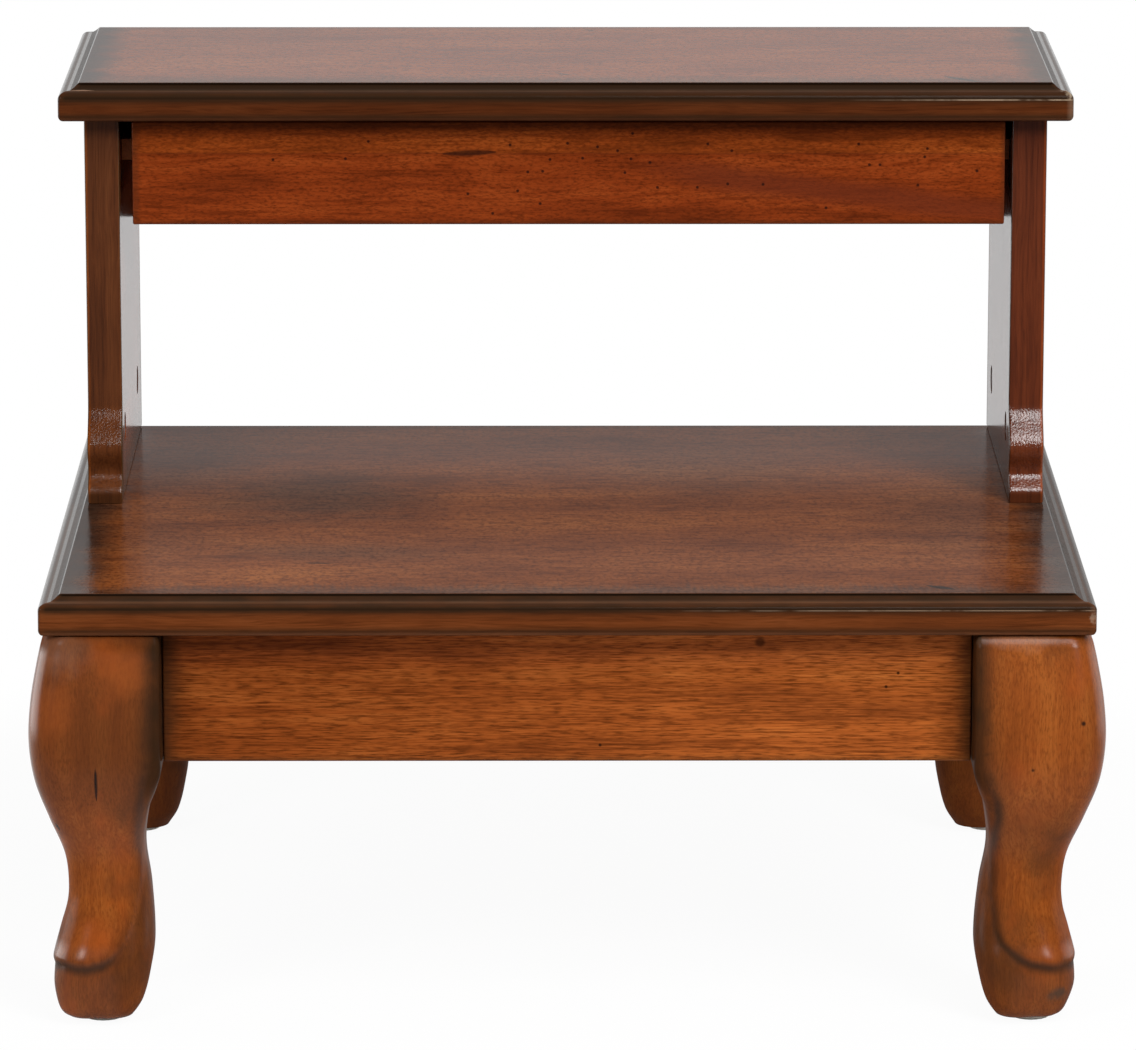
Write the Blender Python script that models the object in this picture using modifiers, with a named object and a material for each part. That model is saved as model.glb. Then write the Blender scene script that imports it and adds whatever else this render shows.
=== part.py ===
"""Two-tread step stool with a drawer under the upper tread.

A moulded lower tread stands on four cabriole legs and an apron frame. Two side panels with ogee feet
stand on it and carry the moulded upper tread. A drawer hangs on wooden runners between the panels.
Metres, +Z up, +Y to the rear. The origin is on the floor, under the middle of the lower tread.
"""

import math

import bmesh
import bpy
from mathutils import Matrix, Vector

# Treads
TREAD_WIDTH = 0.508
LOWER_DEPTH = 0.406
UPPER_DEPTH = 0.199
LOWER_TOP = 0.216
UPPER_TOP = 0.432
BOARD = 0.019
UPPER_SETBACK = 0.007

# Moulded edge of the treads, from the top arris outwards and down
COVE_WIDTH = 0.0042
COVE_DROP = 0.0028
FILLET_WIDTH = 0.0014
OVOLO_WIDTH = 0.0048
OVOLO_DROP = 0.0044
LOWER_ROUND = 0.0030

# Side panels, with an ogee foot at the front
PANEL = 0.0175
PANEL_OVERHANG = 0.0118
PANEL_FRONT_INSET = 0.019
PANEL_REAR_INSET = 0.012
FOOT_REACH = 0.0125
FOOT_STEM = 0.006
FOOT_ROUND_HEIGHT = 0.011
RECESS_REACH = 0.004
RECESS_HEIGHT = 0.007
NOSE_REACH = 0.011
NOSE_COVE_HEIGHT = 0.007
NOSE_STEM = 0.0015
CYMA_HEIGHT = 0.0175

# Rail behind the drawer, housed in the panels
RAIL = 0.016
RAIL_HEIGHT = 0.080
RAIL_REAR_INSET = 0.0015
RAIL_HOUSING = 0.005

# Drawer and its runners
DRAWER_FRONT_HEIGHT = 0.0512
DRAWER_FRONT = 0.016
DRAWER_TOP_GAP = 0.0043
DRAWER_REAR_GAP = 0.0005
DRAWER_LEFT_GAP = 0.0078
DRAWER_RIGHT_GAP = 0.0036
FRONT_LAP = 0.0035
SIDE = 0.014
SIDE_TOP_DROP = 0.002
SIDE_BASE_RISE = 0.0072
DRAWER_BACK = 0.012
BACK_TOP_DROP = 0.002
BOTTOM = 0.004
BOTTOM_LIFT = 0.0045
BOTTOM_HOUSING = 0.005
RUNNER_HEIGHT = 0.0105
RUNNER_DROP = 0.015
RUNNER_ENGAGE = 0.0053
RUNNER_FRONT_GAP = 0.002
RUNNER_REAR_GAP = 0.001
GROOVE_SIDE_CLEAR = 0.0006
GROOVE_UNDER_CLEAR = 0.0008

# Apron frame
APRON = 0.018
APRON_HEIGHT = 0.0672
APRON_INSET = 0.022
BLOCK_HEIGHT = 0.040
BLOCK_LAP = 0.0007
BLOCK_WIDTH = 0.025

# Cabriole legs: insets from the tread's edges, at shares of the leg's height
LEG_OUTER = (
    (0.000, 0.0120),
    (0.021, 0.0092),
    (0.054, 0.0058),
    (0.098, 0.0043),
    (0.145, 0.0043),
    (0.204, 0.0070),
    (0.263, 0.0102),
    (0.325, 0.0117),
    (0.413, 0.0102),
    (0.516, 0.0030),
    (0.620, -0.0040),
    (0.723, -0.0067),
    (0.826, -0.0055),
    (0.929, -0.0018),
    (1.000, 0.0018),
)
# The inner outline, at shares of the clear height below the apron
LEG_POST = 0.058
LEG_INNER = (
    (0.00, 0.0435),
    (0.07, 0.0498),
    (0.29, 0.0538),
    (0.50, 0.0519),
    (0.68, 0.0495),
    (0.84, 0.0518),
    (0.93, 0.0556),
)
# Corner radii of the leg's section, at shares of the leg's height
KNEE_ROUND = ((0.0, 0.010), (0.1, 0.017), (0.3, 0.017), (0.5, 0.016), (0.75, 0.015), (1.0, 0.012))
SIDE_ROUND = ((0.0, 0.012), (0.1, 0.016), (0.35, 0.016), (0.55, 0.011), (0.68, 0.0035), (1.0, 0.003))
BACK_ROUND = ((0.0, 0.012), (0.1, 0.018), (0.35, 0.017), (0.6, 0.014), (0.7, 0.011), (1.0, 0.011))
LEG_RINGS = 26
LEG_ARC_STEPS = 5

# Fasteners and glides
CAM_RADIUS = 0.0072
CAM_LENGTH = 0.0120
CAM_RECESS = 0.0005
CAM_EDGE = 0.033
CAM_FRONT_INSET = 0.021
CAM_REAR_INSET = 0.037
BOLT_RADIUS = 0.003
BOLT_NECK_RADIUS = 0.0016
BOLT_HEAD_RADIUS = 0.0027
BOLT_HEAD = 0.003
BOLT_BITE = 0.011
HANGER_RADIUS = 0.003
HANGER_BITE = 0.026
HANGER_TAIL = 0.004
HANGER_RISE = 0.014
NUT_FLATS = 0.010
NUT = 0.005
SCREW_RADIUS = 0.0019
SCREW_HEAD_RADIUS = 0.0038
SCREW_HEAD_SINK = 0.0006
TREAD_SCREW_BITE = 0.012
TREAD_SCREW_OFFSET = 0.030
RUNNER_SCREW_BITE = 0.008
RUNNER_SCREW_INSET = 0.040
GLIDE_RADIUS = 0.0105
GLIDE = 0.003
NAIL_RADIUS = 0.0013
NAIL = 0.014
GLIDE_INSET = 0.0275

# Clearance between touching pieces, and eased edges
GAP = 0.0003
EASE = 0.0010
ROUND_STEPS = 10
CAM_STEPS = 20
ARC_STEPS = 5
OVERCUT = 0.004

# Places worked out from the sizes above
HALF_WIDTH = TREAD_WIDTH / 2
HALF_DEPTH = LOWER_DEPTH / 2
LOWER_UNDER = LOWER_TOP - BOARD
UPPER_UNDER = UPPER_TOP - BOARD
UPPER_REAR = HALF_DEPTH - UPPER_SETBACK
PANEL_OUT = HALF_WIDTH - PANEL_OVERHANG
PANEL_IN = PANEL_OUT - PANEL
PANEL_MID = PANEL_OUT - PANEL / 2
PANEL_REAR = HALF_DEPTH - PANEL_REAR_INSET
PANEL_FRONT = UPPER_REAR - UPPER_DEPTH + PANEL_FRONT_INSET
PANEL_BASE = LOWER_TOP + GAP
PANEL_HEAD = UPPER_UNDER - GAP
RAIL_REAR = PANEL_REAR - RAIL_REAR_INSET
RAIL_FRONT = RAIL_REAR - RAIL
DRAWER_TOP = UPPER_UNDER - DRAWER_TOP_GAP
DRAWER_UNDER = DRAWER_TOP - DRAWER_FRONT_HEIGHT
DRAWER_REAR = RAIL_FRONT - DRAWER_REAR_GAP
DRAWER_HALF = PANEL_IN - (DRAWER_LEFT_GAP + DRAWER_RIGHT_GAP) / 2
DRAWER_SHIFT = (DRAWER_LEFT_GAP - DRAWER_RIGHT_GAP) / 2
BOX_FRONT = PANEL_FRONT + DRAWER_FRONT + GAP
BOX_HALF = DRAWER_HALF - FRONT_LAP
SIDE_TOP = DRAWER_TOP - SIDE_TOP_DROP
SIDE_UNDER = DRAWER_UNDER + SIDE_BASE_RISE
BOTTOM_UNDER = SIDE_UNDER + BOTTOM_LIFT
BOTTOM_TOP = BOTTOM_UNDER + BOTTOM
RUNNER_TOP = UPPER_UNDER - RUNNER_DROP
RUNNER_UNDER = RUNNER_TOP - RUNNER_HEIGHT
RUNNER_IN = BOX_HALF - RUNNER_ENGAGE
RUNNER_FRONT = BOX_FRONT + RUNNER_FRONT_GAP
RUNNER_REAR = RAIL_FRONT - RUNNER_REAR_GAP
GROOVE_DEPTH = RUNNER_ENGAGE + abs(DRAWER_SHIFT) + GROOVE_SIDE_CLEAR
LEG_BASE = GLIDE
LEG_HEAD = LOWER_UNDER - GAP
LEG_HEIGHT = LEG_HEAD - LEG_BASE
APRON_UNDER = LEG_HEAD - APRON_HEIGHT
APRON_BACK = APRON_INSET + APRON
BLOCK_UNDER = LEG_HEAD - BLOCK_HEIGHT
BLOCK_SEAT = APRON_BACK + GAP
BLOCK_NEAR = 2 * LEG_POST - BLOCK_SEAT - BLOCK_LAP
BLOCK_FAR = BLOCK_NEAR + BLOCK_WIDTH

FINISHES = {
    "tread_stain": ((0.142, 0.043, 0.018), 0.32, 0.0),
    "panel_stain": ((0.092, 0.026, 0.012), 0.30, 0.0),
    "drawer_stain": ((0.230, 0.062, 0.015), 0.36, 0.0),
    "apron_stain": ((0.235, 0.082, 0.020), 0.36, 0.0),
    "leg_stain": ((0.205, 0.066, 0.017), 0.30, 0.0),
    "inner_wood": ((0.420, 0.270, 0.140), 0.60, 0.0),
    "zinc": ((0.300, 0.290, 0.280), 0.42, 1.0),
    "glide_plastic": ((0.700, 0.680, 0.620), 0.50, 0.0),
}

SIDES = {"left": -1, "right": 1}
ENDS = {"front": -1, "rear": 1}
CORNERS = {f"{end}_{side}": (SIDES[side], ENDS[end]) for end in ENDS for side in SIDES}


def clear_scene():
    for obj in list(bpy.data.objects):
        bpy.data.objects.remove(obj)


def new_collection(name):
    collection = bpy.data.collections.new(name)
    bpy.context.scene.collection.children.link(collection)
    return collection


clear_scene()
PARTS = new_collection("step_stool")
CUTTERS = new_collection("step_stool_cutters")


def finish(name):
    """The shared material of one finish."""
    material = bpy.data.materials.get(name)
    if material:
        return material
    colour, roughness, metallic = FINISHES[name]
    material = bpy.data.materials.new(name)
    material.use_nodes = True
    shader = material.node_tree.nodes["Principled BSDF"]
    shader.inputs["Base Color"].default_value = (*colour, 1.0)
    shader.inputs["Roughness"].default_value = roughness
    shader.inputs["Metallic"].default_value = metallic
    return material


def empty(name, place, parent=None):
    obj = bpy.data.objects.new(name, None)
    PARTS.objects.link(obj)
    obj.location = place
    obj.parent = parent
    bpy.context.view_layer.update()
    return obj


def add(name, mesh, material, place=(0, 0, 0), turn=(0, 0, 0), parent=None):
    """A named piece in the model, at a world place, carried by a parent empty."""
    obj = bpy.data.objects.new(name, mesh)
    PARTS.objects.link(obj)
    obj.location = place
    obj.rotation_euler = turn
    if parent:
        obj.parent = parent
        obj.matrix_parent_inverse = parent.matrix_world.inverted()
    obj.data.materials.append(finish(material))
    return obj


def cutter(mesh, place=(0, 0, 0), turn=(0, 0, 0)):
    """A hidden shape that a Boolean takes away."""
    obj = bpy.data.objects.new("cutter", mesh)
    CUTTERS.objects.link(obj)
    obj.location = place
    obj.rotation_euler = turn
    obj.hide_render = True
    obj.display_type = "WIRE"
    return obj


def cut(obj, *tools):
    for tool in tools:
        boolean = obj.modifiers.new("cut", "BOOLEAN")
        boolean.operation = "DIFFERENCE"
        boolean.solver = "EXACT"
        boolean.object = tool


def ease(obj, width=EASE):
    """A narrow flat on the sharp edges, cut before any bore."""
    bevel = obj.modifiers.new("ease", "BEVEL")
    bevel.width = width
    bevel.segments = 1
    bevel.limit_method = "ANGLE"
    bevel.angle_limit = math.radians(60)


def mesh_of(bm, name):
    mesh = bpy.data.meshes.new(name)
    bmesh.ops.recalc_face_normals(bm, faces=bm.faces)
    bm.to_mesh(mesh)
    bm.free()
    return mesh


def box_mesh(low, high):
    """A box between two corners."""
    low, high = Vector(low), Vector(high)
    bm = bmesh.new()
    size = Matrix.Diagonal((*(high - low), 1.0))
    bmesh.ops.create_cube(bm, size=1.0, matrix=Matrix.Translation((low + high) / 2) @ size)
    return mesh_of(bm, "box")


def turned_mesh(profile, steps=ROUND_STEPS):
    """A solid turned about Z from (radius, height) points that run from its top to its bottom."""
    bm = bmesh.new()
    points = [bm.verts.new((radius, 0, height)) for radius, height in profile]
    for first, second in zip(points, points[1:]):
        bm.edges.new((first, second))
    mesh = bpy.data.meshes.new("profile")
    bm.to_mesh(mesh)
    bm.free()
    profile_object = bpy.data.objects.new("profile", mesh)
    CUTTERS.objects.link(profile_object)
    screw = profile_object.modifiers.new("turn", "SCREW")
    screw.steps = steps
    screw.render_steps = steps
    screw.use_merge_vertices = True
    screw.merge_threshold = 0.00001
    graph = bpy.context.evaluated_depsgraph_get()
    turned = bpy.data.meshes.new_from_object(profile_object.evaluated_get(graph))
    bpy.data.objects.remove(profile_object)
    turned.shade_smooth()
    turned.set_sharp_from_angle(angle=math.radians(35))
    return turned


def rod_mesh(radius, low, high, steps=ROUND_STEPS):
    return turned_mesh(((0, high), (radius, high), (radius, low), (0, low)), steps)


def quarter(centre, half_axes, start, end, steps=ARC_STEPS):
    """Points on an ellipse between two angles in degrees, both ends included."""
    angles = [math.radians(start + (end - start) * i / steps) for i in range(steps + 1)]
    return [
        (centre[0] + half_axes[0] * math.cos(angle), centre[1] + half_axes[1] * math.sin(angle))
        for angle in angles
    ]


def outline_mesh(points, thickness):
    """A flat outline in its own XY plane, made this thick about that plane."""
    curve = bpy.data.curves.new("outline", "CURVE")
    curve.dimensions = "2D"
    curve.fill_mode = "BOTH"
    curve.extrude = thickness / 2
    spline = curve.splines.new("POLY")
    spline.points.add(len(points) - 1)
    for point, (x, y) in zip(spline.points, points):
        point.co = (x, y, 0, 1)
    spline.use_cyclic_u = True
    obj = bpy.data.objects.new("outline", curve)
    CUTTERS.objects.link(obj)
    graph = bpy.context.evaluated_depsgraph_get()
    mesh = bpy.data.meshes.new_from_object(obj.evaluated_get(graph))
    bpy.data.objects.remove(obj)
    bm = bmesh.new()
    bm.from_mesh(mesh)
    bmesh.ops.remove_doubles(bm, verts=bm.verts, dist=0.00001)
    bmesh.ops.dissolve_limit(bm, angle_limit=math.radians(1), verts=bm.verts, edges=bm.edges)
    bpy.data.meshes.remove(mesh)
    return mesh_of(bm, "outline")


def smooth_value(points, at):
    """The value at a place on a smooth curve through (place, value) points."""
    places = [place for place, _ in points]
    values = [value for _, value in points]
    if at <= places[0]:
        return values[0]
    if at >= places[-1]:
        return values[-1]
    last = len(points) - 1
    i = max(k for k in range(last) if places[k] <= at)

    def slope(k):
        before, after = max(k - 1, 0), min(k + 1, last)
        return (values[after] - values[before]) / (places[after] - places[before])

    span = places[i + 1] - places[i]
    t = (at - places[i]) / span
    start = values[i] * (1 + 2 * t) * (1 - t) ** 2 + slope(i) * span * t * (1 - t) ** 2
    return start + values[i + 1] * t * t * (3 - 2 * t) + slope(i + 1) * span * t * t * (t - 1)


# Treads


def tread_profile():
    """(inset, drop) points of the moulded edge, from the underside up to the top arris."""
    face_top = COVE_DROP + OVOLO_DROP
    ovolo_centre = (OVOLO_WIDTH, face_top)
    cove_foot = OVOLO_WIDTH + FILLET_WIDTH
    lower = quarter((LOWER_ROUND, BOARD - LOWER_ROUND), (LOWER_ROUND, LOWER_ROUND), 90, 180)
    ovolo = quarter(ovolo_centre, (OVOLO_WIDTH, OVOLO_DROP), 180, 270)
    cove = quarter((cove_foot, 0), (COVE_WIDTH, COVE_DROP), 90, 0)
    return lower + ovolo + cove


def tread(name, depth, top, rear, bolts):
    """A board whose edge is moulded all round, grown upwards from its underside in steps."""
    bm = bmesh.new()
    bmesh.ops.create_grid(bm, x_segments=1, y_segments=1, size=HALF_WIDTH)
    bm.faces.ensure_lookup_table()
    face = bm.faces[0]
    for step, (inset, drop) in enumerate(tread_profile()):
        if step:
            grown = bmesh.ops.extrude_face_region(bm, geom=[face, *face.edges])["geom"]
            face = next(item for item in grown if isinstance(item, bmesh.types.BMFace))
        for vert in face.verts:
            x = math.copysign(HALF_WIDTH - inset, vert.co.x)
            y = math.copysign(depth / 2 - inset, vert.co.y)
            vert.co = (x, y, -drop)
    board = add(name, mesh_of(bm, name), "tread_stain", (0, rear - depth / 2, top), parent=STOOL)
    cut(board, *bolts)
    return board


def build_treads():
    tread("lower_tread", LOWER_DEPTH, LOWER_TOP, HALF_DEPTH, BOLT_BORES["lower"] + TREAD_SCREW_BORES)
    tread("upper_tread", UPPER_DEPTH, UPPER_TOP, UPPER_REAR, BOLT_BORES["upper"])


# Side panels and what joins them to the treads


def panel_outline():
    """(front-to-rear, height) points of a side panel, starting at the rear of its base."""
    foot_top = PANEL_BASE + FOOT_STEM
    recess_base = foot_top + FOOT_ROUND_HEIGHT
    recess_top = recess_base + RECESS_HEIGHT
    nose_base = recess_top + NOSE_COVE_HEIGHT
    nose_top = nose_base + NOSE_STEM
    cyma_top = nose_top + CYMA_HEIGHT
    foot_reach = PANEL_FRONT - FOOT_REACH
    recess = PANEL_FRONT - RECESS_REACH
    nose = PANEL_FRONT - NOSE_REACH
    cyma_axes = (NOSE_REACH / 2, CYMA_HEIGHT / 2)
    cyma_line = PANEL_FRONT - NOSE_REACH / 2
    points = [(PANEL_REAR, PANEL_BASE), (PANEL_REAR, PANEL_HEAD), (PANEL_FRONT, PANEL_HEAD)]
    points += quarter((cyma_line, cyma_top), cyma_axes, 0, -90)
    points += quarter((cyma_line, nose_top), cyma_axes, 90, 180)[1:]
    points += quarter((nose, recess_top), (NOSE_REACH - RECESS_REACH, NOSE_COVE_HEIGHT), 90, 0)
    points += quarter((recess, foot_top), (FOOT_REACH - RECESS_REACH, FOOT_ROUND_HEIGHT), 90, 180)
    points.append((foot_reach, PANEL_BASE))
    return points


def cam_places():
    """(level, end, y, cam height, tread face height, way from the tread to the cam) of each joint."""
    ends = {"front": PANEL_FRONT + CAM_FRONT_INSET, "rear": PANEL_REAR - CAM_REAR_INSET}
    levels = {
        "lower": (LOWER_TOP + CAM_EDGE, LOWER_TOP, 1),
        "upper": (UPPER_UNDER - CAM_EDGE, UPPER_UNDER, -1),
    }
    return [(level, end, ends[end], *levels[level]) for level in levels for end in ends]


def cam_bolt_profile():
    """A cam bolt from its head down through its shank to its threaded tail, the tread face at 0."""
    head_top = CAM_EDGE + BOLT_HEAD / 2
    head_under = CAM_EDGE - BOLT_HEAD / 2
    collar = CAM_EDGE - CAM_RADIUS
    return (
        (0, head_top),
        (BOLT_HEAD_RADIUS, head_top),
        (BOLT_HEAD_RADIUS, head_under),
        (BOLT_NECK_RADIUS, head_under),
        (BOLT_NECK_RADIUS, collar),
        (BOLT_RADIUS, collar),
        (BOLT_RADIUS, -BOLT_BITE),
        (0, -BOLT_BITE),
    )


def build_panels():
    outline = panel_outline()
    for side, sign in SIDES.items():
        stand = (math.pi / 2, 0, math.pi / 2)
        place = (sign * PANEL_MID, 0, 0)
        name = f"side_panel_{side}"
        panel = add(name, outline_mesh(outline, PANEL), "panel_stain", place, stand, STOOL)
        ease(panel)
        tools = [RAIL_HOUSINGS[sign], *RUNNER_SCREW_BORES[sign]]
        for level, end, y, height, face, way in cam_places():
            tools += build_cam_joint(f"{level}_{side}_{end}", sign, y, height, face, way, level)
        cut(panel, *tools)


def build_cam_joint(label, sign, y, height, face, way, level):
    """A cam lock in the panel and its bolt in the tread. Returns the panel's bores."""
    inwards = (0, -sign * math.pi / 2, 0)
    upright = (0, 0, 0) if way > 0 else (math.pi, 0, 0)
    mouth = (sign * PANEL_IN, y, height)
    bolt_foot = (sign * PANEL_MID, y, face)
    cam = add(
        f"cam_lock_{label}",
        rod_mesh(CAM_RADIUS, -CAM_RECESS - CAM_LENGTH, -CAM_RECESS, CAM_STEPS),
        "zinc", mouth, inwards, STOOL,
    )
    seat = rod_mesh(CAM_RADIUS + GAP, -CAM_RECESS - CAM_LENGTH - GAP, OVERCUT, CAM_STEPS)
    cam_seat = cutter(seat, mouth, inwards)
    add(
        f"cam_bolt_{label}",
        turned_mesh(cam_bolt_profile()), "zinc", bolt_foot, upright, STOOL,
    )
    pocket_top = CAM_EDGE + BOLT_HEAD / 2 + GAP
    cut(cam, cutter(rod_mesh(BOLT_HEAD_RADIUS + GAP, 0, pocket_top), bolt_foot, upright))
    BOLT_BORES[level].append(
        cutter(rod_mesh(BOLT_RADIUS + GAP, -BOLT_BITE - GAP, OVERCUT), bolt_foot, upright)
    )
    shank = cutter(rod_mesh(BOLT_RADIUS + GAP, -OVERCUT, CAM_EDGE), bolt_foot, upright)
    return [cam_seat, shank]


# Back rail


def build_rail():
    reach = PANEL_IN + RAIL_HOUSING
    under = PANEL_HEAD - RAIL_HEIGHT
    mesh = box_mesh((-reach, RAIL_FRONT, under), (reach, RAIL_REAR, PANEL_HEAD))
    add("back_rail", mesh, "panel_stain", parent=STOOL)
    for sign in SIDES.values():
        ends = sorted((sign * (PANEL_IN - OVERCUT), sign * (reach + GAP)))
        low = (ends[0], RAIL_FRONT - GAP, under - GAP)
        high = (ends[1], RAIL_REAR + GAP, PANEL_HEAD + OVERCUT)
        RAIL_HOUSINGS[sign] = cutter(box_mesh(low, high))


# Drawer runners


def screw_profile(length, clear=0.0):
    """A countersunk screw, its head's face at 0 and its point below."""
    head = SCREW_HEAD_RADIUS + clear
    shank = SCREW_RADIUS + clear
    face = clear + (OVERCUT if clear else 0)
    taper = SCREW_HEAD_RADIUS - SCREW_RADIUS
    point = -length - clear
    return ((0, face), (head, face), (head, 0), (shank, -taper), (shank, point), (0, point))


def build_runners():
    width = PANEL_IN - RUNNER_IN
    for side, sign in SIDES.items():
        ends = sorted((sign * RUNNER_IN, sign * (PANEL_IN - GAP)))
        low = (ends[0], RUNNER_FRONT, RUNNER_UNDER)
        high = (ends[1], RUNNER_REAR, RUNNER_TOP)
        runner = add(f"drawer_runner_{side}", box_mesh(low, high), "panel_stain", parent=STOOL)
        middle = (RUNNER_TOP + RUNNER_UNDER) / 2
        length = width - SCREW_HEAD_SINK + RUNNER_SCREW_BITE
        inwards = (0, -sign * math.pi / 2, 0)
        places = {"front": RUNNER_FRONT + RUNNER_SCREW_INSET, "rear": RUNNER_REAR - RUNNER_SCREW_INSET}
        for end, y in places.items():
            head = (sign * (RUNNER_IN + SCREW_HEAD_SINK), y, middle)
            name = f"runner_screw_{side}_{end}"
            add(name, turned_mesh(screw_profile(length)), "zinc", head, inwards, STOOL)
            bore = cutter(turned_mesh(screw_profile(length, GAP)), head, inwards)
            cut(runner, bore)
            RUNNER_SCREW_BORES[sign].append(bore)


# Drawer


def build_drawer():
    drawer = empty("drawer_slide", (DRAWER_SHIFT, PANEL_FRONT, RUNNER_TOP), STOOL)
    inside = BOX_HALF - SIDE
    bottom_half = inside + BOTTOM_HOUSING - GAP
    bottom_front = BOX_FRONT - BOTTOM_HOUSING
    base = (DRAWER_SHIFT, 0, 0)

    low = (-DRAWER_HALF, PANEL_FRONT, DRAWER_UNDER)
    high = (DRAWER_HALF, PANEL_FRONT + DRAWER_FRONT, DRAWER_TOP)
    front = add("drawer_front", box_mesh(low, high), "drawer_stain", base, parent=drawer)
    ease(front)

    low = (-bottom_half, bottom_front, BOTTOM_UNDER)
    high = (bottom_half, DRAWER_REAR, BOTTOM_TOP)
    add("drawer_bottom", box_mesh(low, high), "inner_wood", base, parent=drawer)
    room = Vector((GAP, GAP, GAP))
    rear_room = Vector((GAP, OVERCUT, GAP))
    groove = cutter(box_mesh(Vector(low) - room, Vector(high) + rear_room), base)
    cut(front, groove)

    for side, sign in SIDES.items():
        ends = sorted((sign * BOX_HALF, sign * inside))
        low = (ends[0], BOX_FRONT, SIDE_UNDER)
        high = (ends[1], DRAWER_REAR, SIDE_TOP)
        wall = add(f"drawer_side_{side}", box_mesh(low, high), "inner_wood", base, parent=drawer)
        slot = sorted((sign * (BOX_HALF + OVERCUT), sign * (BOX_HALF - GROOVE_DEPTH)))
        low = (slot[0], BOX_FRONT - OVERCUT, RUNNER_UNDER - GROOVE_UNDER_CLEAR)
        high = (slot[1], DRAWER_REAR + OVERCUT, RUNNER_TOP + GAP)
        cut(wall, cutter(box_mesh(low, high), base), groove)

    low = (-inside + GAP, DRAWER_REAR - DRAWER_BACK, BOTTOM_TOP + GAP)
    high = (inside - GAP, DRAWER_REAR, SIDE_TOP - BACK_TOP_DROP)
    add("drawer_back", box_mesh(low, high), "inner_wood", base, parent=drawer)


# Apron frame


def build_aprons():
    span_x = HALF_WIDTH - LEG_POST - GAP
    span_y = HALF_DEPTH - LEG_POST - GAP
    for end, sign in ENDS.items():
        faces = sorted((sign * (HALF_DEPTH - APRON_INSET), sign * (HALF_DEPTH - APRON_BACK)))
        mesh = box_mesh((-span_x, faces[0], APRON_UNDER), (span_x, faces[1], LEG_HEAD))
        ease(add(f"apron_{end}", mesh, "apron_stain", parent=STOOL))
    for side, sign in SIDES.items():
        faces = sorted((sign * (HALF_WIDTH - APRON_INSET), sign * (HALF_WIDTH - APRON_BACK)))
        mesh = box_mesh((faces[0], -span_y, APRON_UNDER), (faces[1], span_y, LEG_HEAD))
        ease(add(f"apron_{side}", mesh, "apron_stain", parent=STOOL))


def build_corner(label, side, end):
    """A corner block across two aprons, its hanger bolt and nut, and its screw into the tread."""
    near, far = (BLOCK_SEAT, BLOCK_NEAR), (BLOCK_SEAT, BLOCK_FAR)
    outline = [far, near, near[::-1], far[::-1]]
    points = [(side * (HALF_WIDTH - a), end * (HALF_DEPTH - b)) for a, b in outline]
    place = (0, 0, BLOCK_UNDER + BLOCK_HEIGHT / 2)
    mesh = outline_mesh(points, BLOCK_HEIGHT)
    block = add(f"corner_block_{label}", mesh, "inner_wood", place, parent=STOOL)

    height = BLOCK_UNDER + HANGER_RISE
    inner_face = (BLOCK_SEAT + BLOCK_FAR) / 2
    heading = math.atan2(-end, -side)
    along = (0, math.pi / 2, heading)
    nut_seat = (side * (HALF_WIDTH - inner_face), end * (HALF_DEPTH - inner_face), height)
    to_post = (inner_face - LEG_POST) * math.sqrt(2)
    low, high = -to_post - HANGER_BITE, GAP + NUT + HANGER_TAIL
    bolt = rod_mesh(HANGER_RADIUS, low, high)
    add(f"hanger_bolt_{label}", bolt, "zinc", nut_seat, along, STOOL)
    bore = cutter(rod_mesh(HANGER_RADIUS + GAP, low - GAP, high + OVERCUT), nut_seat, along)
    cut(block, bore)
    LEG_BORES[label].append(bore)

    bm = bmesh.new()
    bmesh.ops.create_cone(
        bm, cap_ends=True, segments=6, depth=NUT,
        radius1=NUT_FLATS / math.sqrt(3), radius2=NUT_FLATS / math.sqrt(3),
        matrix=Matrix.Translation((0, 0, GAP + NUT / 2)),
    )
    nut = add(f"hanger_nut_{label}", mesh_of(bm, "nut"), "zinc", nut_seat, along, STOOL)
    cut(nut, bore)

    middle = (BLOCK_SEAT + (BLOCK_NEAR + BLOCK_FAR) / 2) / 2
    offset = TREAD_SCREW_OFFSET / 2
    x, y = side * (HALF_WIDTH - middle - offset), end * (HALF_DEPTH - middle + offset)
    head = (x, y, BLOCK_UNDER + SCREW_HEAD_SINK)
    length = BLOCK_HEIGHT - SCREW_HEAD_SINK + TREAD_SCREW_BITE
    up = (math.pi, 0, 0)
    add(f"tread_screw_{label}", turned_mesh(screw_profile(length)), "zinc", head, up, STOOL)
    screw_bore = cutter(turned_mesh(screw_profile(length, GAP)), head, up)
    cut(block, screw_bore)
    TREAD_SCREW_BORES.append(screw_bore)


# Legs


def leg_section(height):
    """Inset points round the leg's section at a height above the floor, starting on the knee."""
    share = (height - LEG_BASE) / LEG_HEIGHT
    clear = (height - LEG_BASE) / (APRON_UNDER - LEG_BASE)
    outer = smooth_value(LEG_OUTER, share)
    inner = smooth_value(LEG_INNER + ((1.0, LEG_POST), (1.1, LEG_POST)), clear)
    knee, flank, back = (smooth_value(r, share) for r in (KNEE_ROUND, SIDE_ROUND, BACK_ROUND))
    corners = (
        (outer + knee, outer + knee, knee, 180),
        (inner - flank, outer + flank, flank, 270),
        (inner - back, inner - back, back, 0),
        (outer + flank, inner - flank, flank, 90),
    )
    points = []
    for a, b, radius, start in corners:
        points += quarter((a, b), (radius, radius), start, start + 90, LEG_ARC_STEPS)
    return points


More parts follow.
